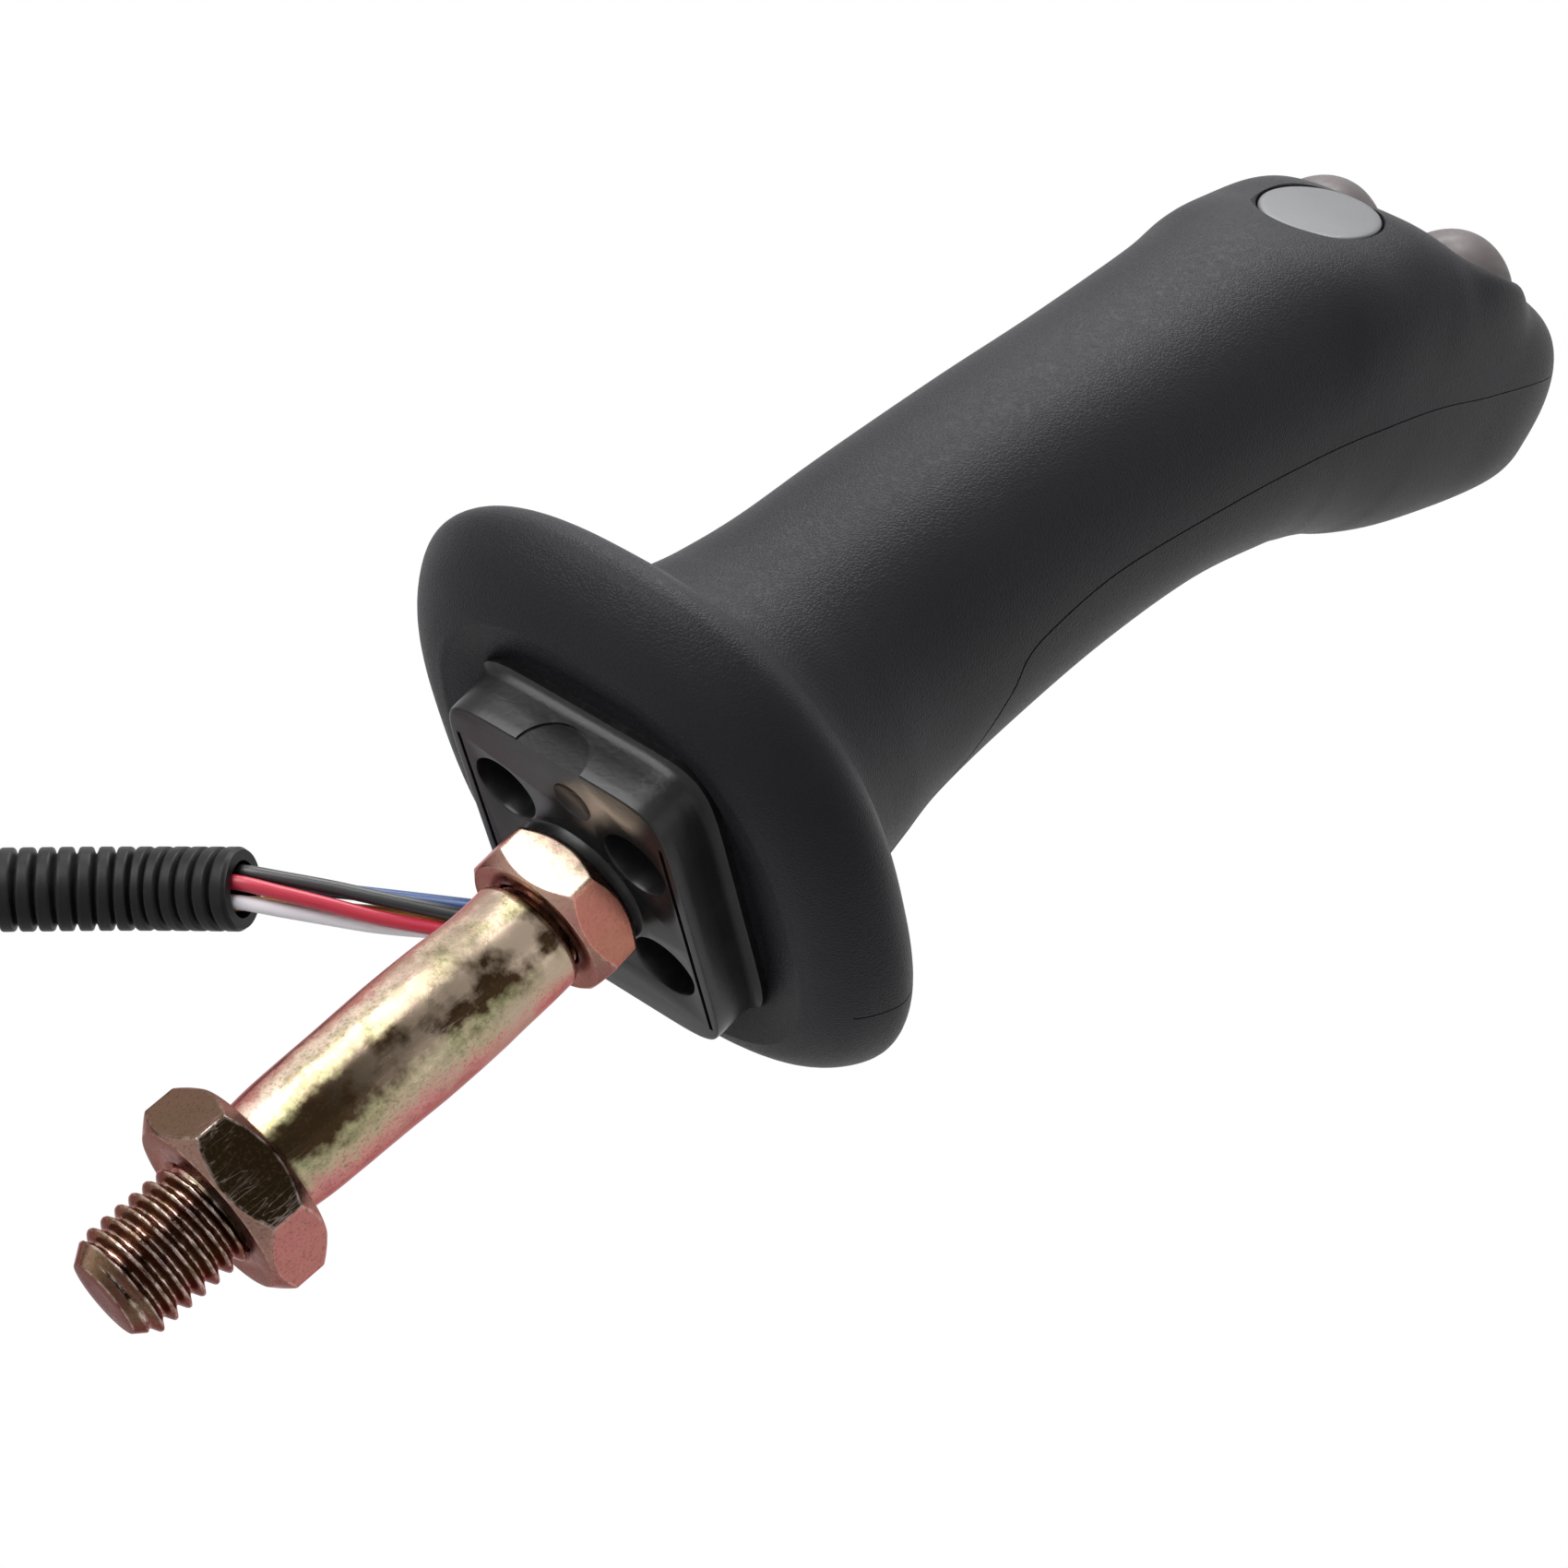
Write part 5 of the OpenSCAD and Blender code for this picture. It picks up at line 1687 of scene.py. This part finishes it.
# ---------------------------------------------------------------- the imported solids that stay


@dataclass
class KeptSolids:
    """Finishes of the CAD nodes that stay as they are."""

    slots: dict[str, tuple[str, ...]] = field(
        default_factory=lambda: {
            "insert_brass": ("threaded_insert",),
            "plunger_red": ("thumb_plunger", "left_plunger", "right_plunger"),
            "screw_steel": ("carrier_screws", "cover_screws", "plate_screws"),
            "switch_black": ("thumb_switch", "left_switch", "right_switch"),
            "carrier_grey": ("switch_carrier",),
            "rubber_black": ("cable_grommet", "inner_loom"),
            "sleeve_black": ("conduit_sleeve",),
            "seal_orange": ("connector_seal",),
            "connector_black": ("connector_housing", "connector_latch"),
            "contact_tin": ("connector_contacts",),
        }
    )

    def finishes(self) -> dict[str, Finish]:
        """The finish of each slot."""
        return {
            "insert_brass": CleanMetal("turned_brass", (0.72, 0.58, 0.32), 0.28),
            "plunger_red": MouldedPlastic(
                "plunger_red_acetal", (0.5, 0.05, 0.04), (0.7, 0.2, 0.15),
                0.3, 0.5, 2200.0, 0.00001,
            ),  # fmt: skip
            "screw_steel": CleanMetal("zinc_plated_screws", (0.5, 0.5, 0.5), 0.3),
            "switch_black": MouldedPlastic(
                "switch_case_black", (0.045, 0.045, 0.05), (0.16, 0.16, 0.17),
                0.42, 0.5, 1900.0, 0.00001,
            ),  # fmt: skip
            "carrier_grey": MouldedPlastic(
                "carrier_grey_nylon", (0.2, 0.2, 0.21), (0.34, 0.34, 0.35),
                0.5, 0.45, 1600.0, 0.00002,
            ),  # fmt: skip
            "rubber_black": MouldedPlastic(
                "matte_rubber", (0.014, 0.014, 0.014), (0.06, 0.06, 0.06),
                0.7, 0.3, 2200.0, 0.00002,
            ),  # fmt: skip
            "sleeve_black": MouldedPlastic(
                "shrunk_sleeve", (0.02, 0.02, 0.021), (0.08, 0.08, 0.08),
                0.48, 0.4, 900.0, 0.00004,
            ),  # fmt: skip
            "seal_orange": MouldedPlastic(
                "seal_silicone", (0.55, 0.18, 0.05), (0.7, 0.32, 0.15),
                0.55, 0.35, 1800.0, 0.00001,
            ),  # fmt: skip
            "connector_black": MouldedPlastic(
                "connector_nylon", (0.022, 0.022, 0.024), (0.1, 0.1, 0.1),
                0.42, 0.45, 1700.0, 0.00002,
            ),  # fmt: skip
            "contact_tin": CleanMetal("tinned_contacts", (0.68, 0.68, 0.66), 0.3),
        }

    def build(self, effects: Effects) -> None:
        """Dresses every CAD node that stays."""
        finishes = self.finishes()
        for slot, nodes in self.slots.items():
            material = finishes[slot].made(effects)
            for name in nodes:
                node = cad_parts[name]
                if node.data.materials:
                    for i in range(len(node.data.materials)):
                        node.data.materials[i] = material
                else:
                    node.data.materials.append(material)
                log.info("%s keeps its solid in %s", name, slot)


# ---------------------------------------------------------------- the whole part


@dataclass
class Joystick:
    """The whole part, in the order that its pieces are made."""

    dome_pitch: float = 21.4
    plate: BasePlate = field(default_factory=BasePlate)
    stem: Stem = field(default_factory=Stem)
    harness: Harness = field(default_factory=Harness)

    def buttons(self) -> tuple[Button, ...]:
        """The three buttons, the thumb's first."""
        half = self.dome_pitch / 2
        return (
            Button("thumb", Body.THUMB, 0, 11.2, 146.3, 65.5, 17.0, 0.0),
            Button("left", Body.LEFT, -half, 29, 163.6, 40, 15.0, 4.0),
            Button("right", Body.RIGHT, half, 29, 163.6, 40, 15.0, 4.0),
        )

    @staticmethod
    def zinc(effects: Effects) -> dict[str, bpy.types.Material]:
        """The passivated finish of the stem and of each nut, with painted highlights and painted
        dark reflections in its bands.
        """
        pink, rose, gold = (0.4, 0.14, 0.148), (0.52, 0.24, 0.23), (0.42, 0.34, 0.24)
        # The cream is a painted highlight and the dark brown a painted dark reflection, placed by
        # the way each face turns.
        olive, dark_reflection_brown, highlight_cream = (0.22, 0.205, 0.125), (0.028, 0.017, 0.009), (0.93, 0.74, 0.64)
        stem = PassivatedZinc(
            "zinc_stem",
            (
                (0.0, dark_reflection_brown), (0.1, pink), (0.15, rose), (0.195, highlight_cream), (0.235, gold),
                (0.265, olive), (0.305, dark_reflection_brown), (0.395, dark_reflection_brown), (0.43, olive), (0.465, gold),
                (0.505, rose), (0.56, pink), (0.7, olive), (0.85, gold), (1.0, dark_reflection_brown),
            ),  # fmt: skip
            roughness=0.24,
            blotch=0.07,
            speckle=0.5,
            darker_below=0.006,
        )
        upper = PassivatedZinc(
            "zinc_upper_nut",
            (
                # The pale pink band is a painted highlight on one facet.
                (0.0, dark_reflection_brown), (0.09, pink), (0.17, rose), (0.24, (0.66, 0.5, 0.42)),
                (0.3, (0.66, 0.5, 0.42)), (0.38, (0.42, 0.18, 0.15)), (0.45, (0.36, 0.14, 0.11)),
                (0.6, pink), (0.8, olive), (1.0, dark_reflection_brown),
            ),  # fmt: skip
            roughness=0.26,
            blotch=0.03,
            speckle=0.25,
        )
        lower = PassivatedZinc(
            "zinc_lower_nut",
            (
                (0.0, olive), (0.1, (0.14, 0.105, 0.08)), (0.2, (0.17, 0.12, 0.09)),
                # The near black band is a painted dark reflection on the front facet.
                (0.26, (0.016, 0.01, 0.005)), (0.42, (0.016, 0.01, 0.005)),
                (0.47, (0.42, 0.2, 0.18)), (0.55, pink), (0.75, gold), (1.0, olive),
            ),  # fmt: skip
            roughness=0.27,
            blotch=0.035,
            speckle=0.5,
        )
        finishes = {"stem": stem, "upper_nut": upper, "lower_nut": lower}
        return {name: finish.made(effects) for name, finish in finishes.items()}

    def build(self) -> None:
        """Builds and dresses every piece."""
        datum = Datum.from_plate(self.plate.centre_y, self.plate.thickness)
        effects = Effects()
        conduit = MouldedPlastic(
            "conduit_black_nylon", (0.006, 0.006, 0.0065), (0.03, 0.03, 0.033),
            0.45, 0.16, 1700.0, 0.00001, 0.3, 0.25, 0.08,
        )  # fmt: skip
        self.harness.build(datum, effects, conduit.made(effects))
        grip = MouldedPlastic(
            "grip_black_grained", (0.0092, 0.0092, 0.0118), (0.04, 0.04, 0.045),
            0.46, 0.13, 1900.0, 0.00004, 0.7, 0.1, 0.015, 0.12,
        )  # fmt: skip
        cover = MouldedPlastic(
            "cover_black_grained", (0.0082, 0.0082, 0.0105), (0.04, 0.04, 0.045),
            0.44, 0.13, 1900.0, 0.00004, 0.7, 0.1, 0.015, 0.12,
        )  # fmt: skip
        buttons = self.buttons()
        GripShell(buttons=buttons).build(datum, grip.made(effects), cover.made(effects))
        plate = MouldedPlastic(
            "plate_black_gloss", (0.007, 0.007, 0.0075), (0.06, 0.06, 0.06),
            0.3, 0.26, 800.0, 0.00002, 0.15, 0.3, 0.08, 0.3,
        )  # fmt: skip
        self.plate.build(datum, plate.made(effects))
        self.stem.build(datum, self.zinc(effects))
        grey = MouldedPlastic(
            "thumb_button_grey", (0.098, 0.1, 0.106), (0.2, 0.205, 0.215),
            0.42, 0.45, 1700.0, 0.00001, 0.3, 0.15, 0.04, 0.1,
        )  # fmt: skip
        smoke = SmokyDome("dome_smoke_clear", (0.085, 0.07, 0.07), (0.2, 0.175, 0.17), 0.5, 0.08)
        spring = CleanMetal("drawn_spring_wire", (0.66, 0.66, 0.67), 0.22)
        Buttons(buttons).build(datum, grey.made(effects), smoke.made(effects), spring.made(effects))
        KeptSolids().build(effects)


def main() -> None:
    """Builds the stage and the joystick."""
    logging.basicConfig(level=logging.INFO, format="%(name)s: %(message)s")
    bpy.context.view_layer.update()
    Studio().build()
    Joystick().build()
    bpy.context.view_layer.update()


if __name__ == "__main__":
    main()
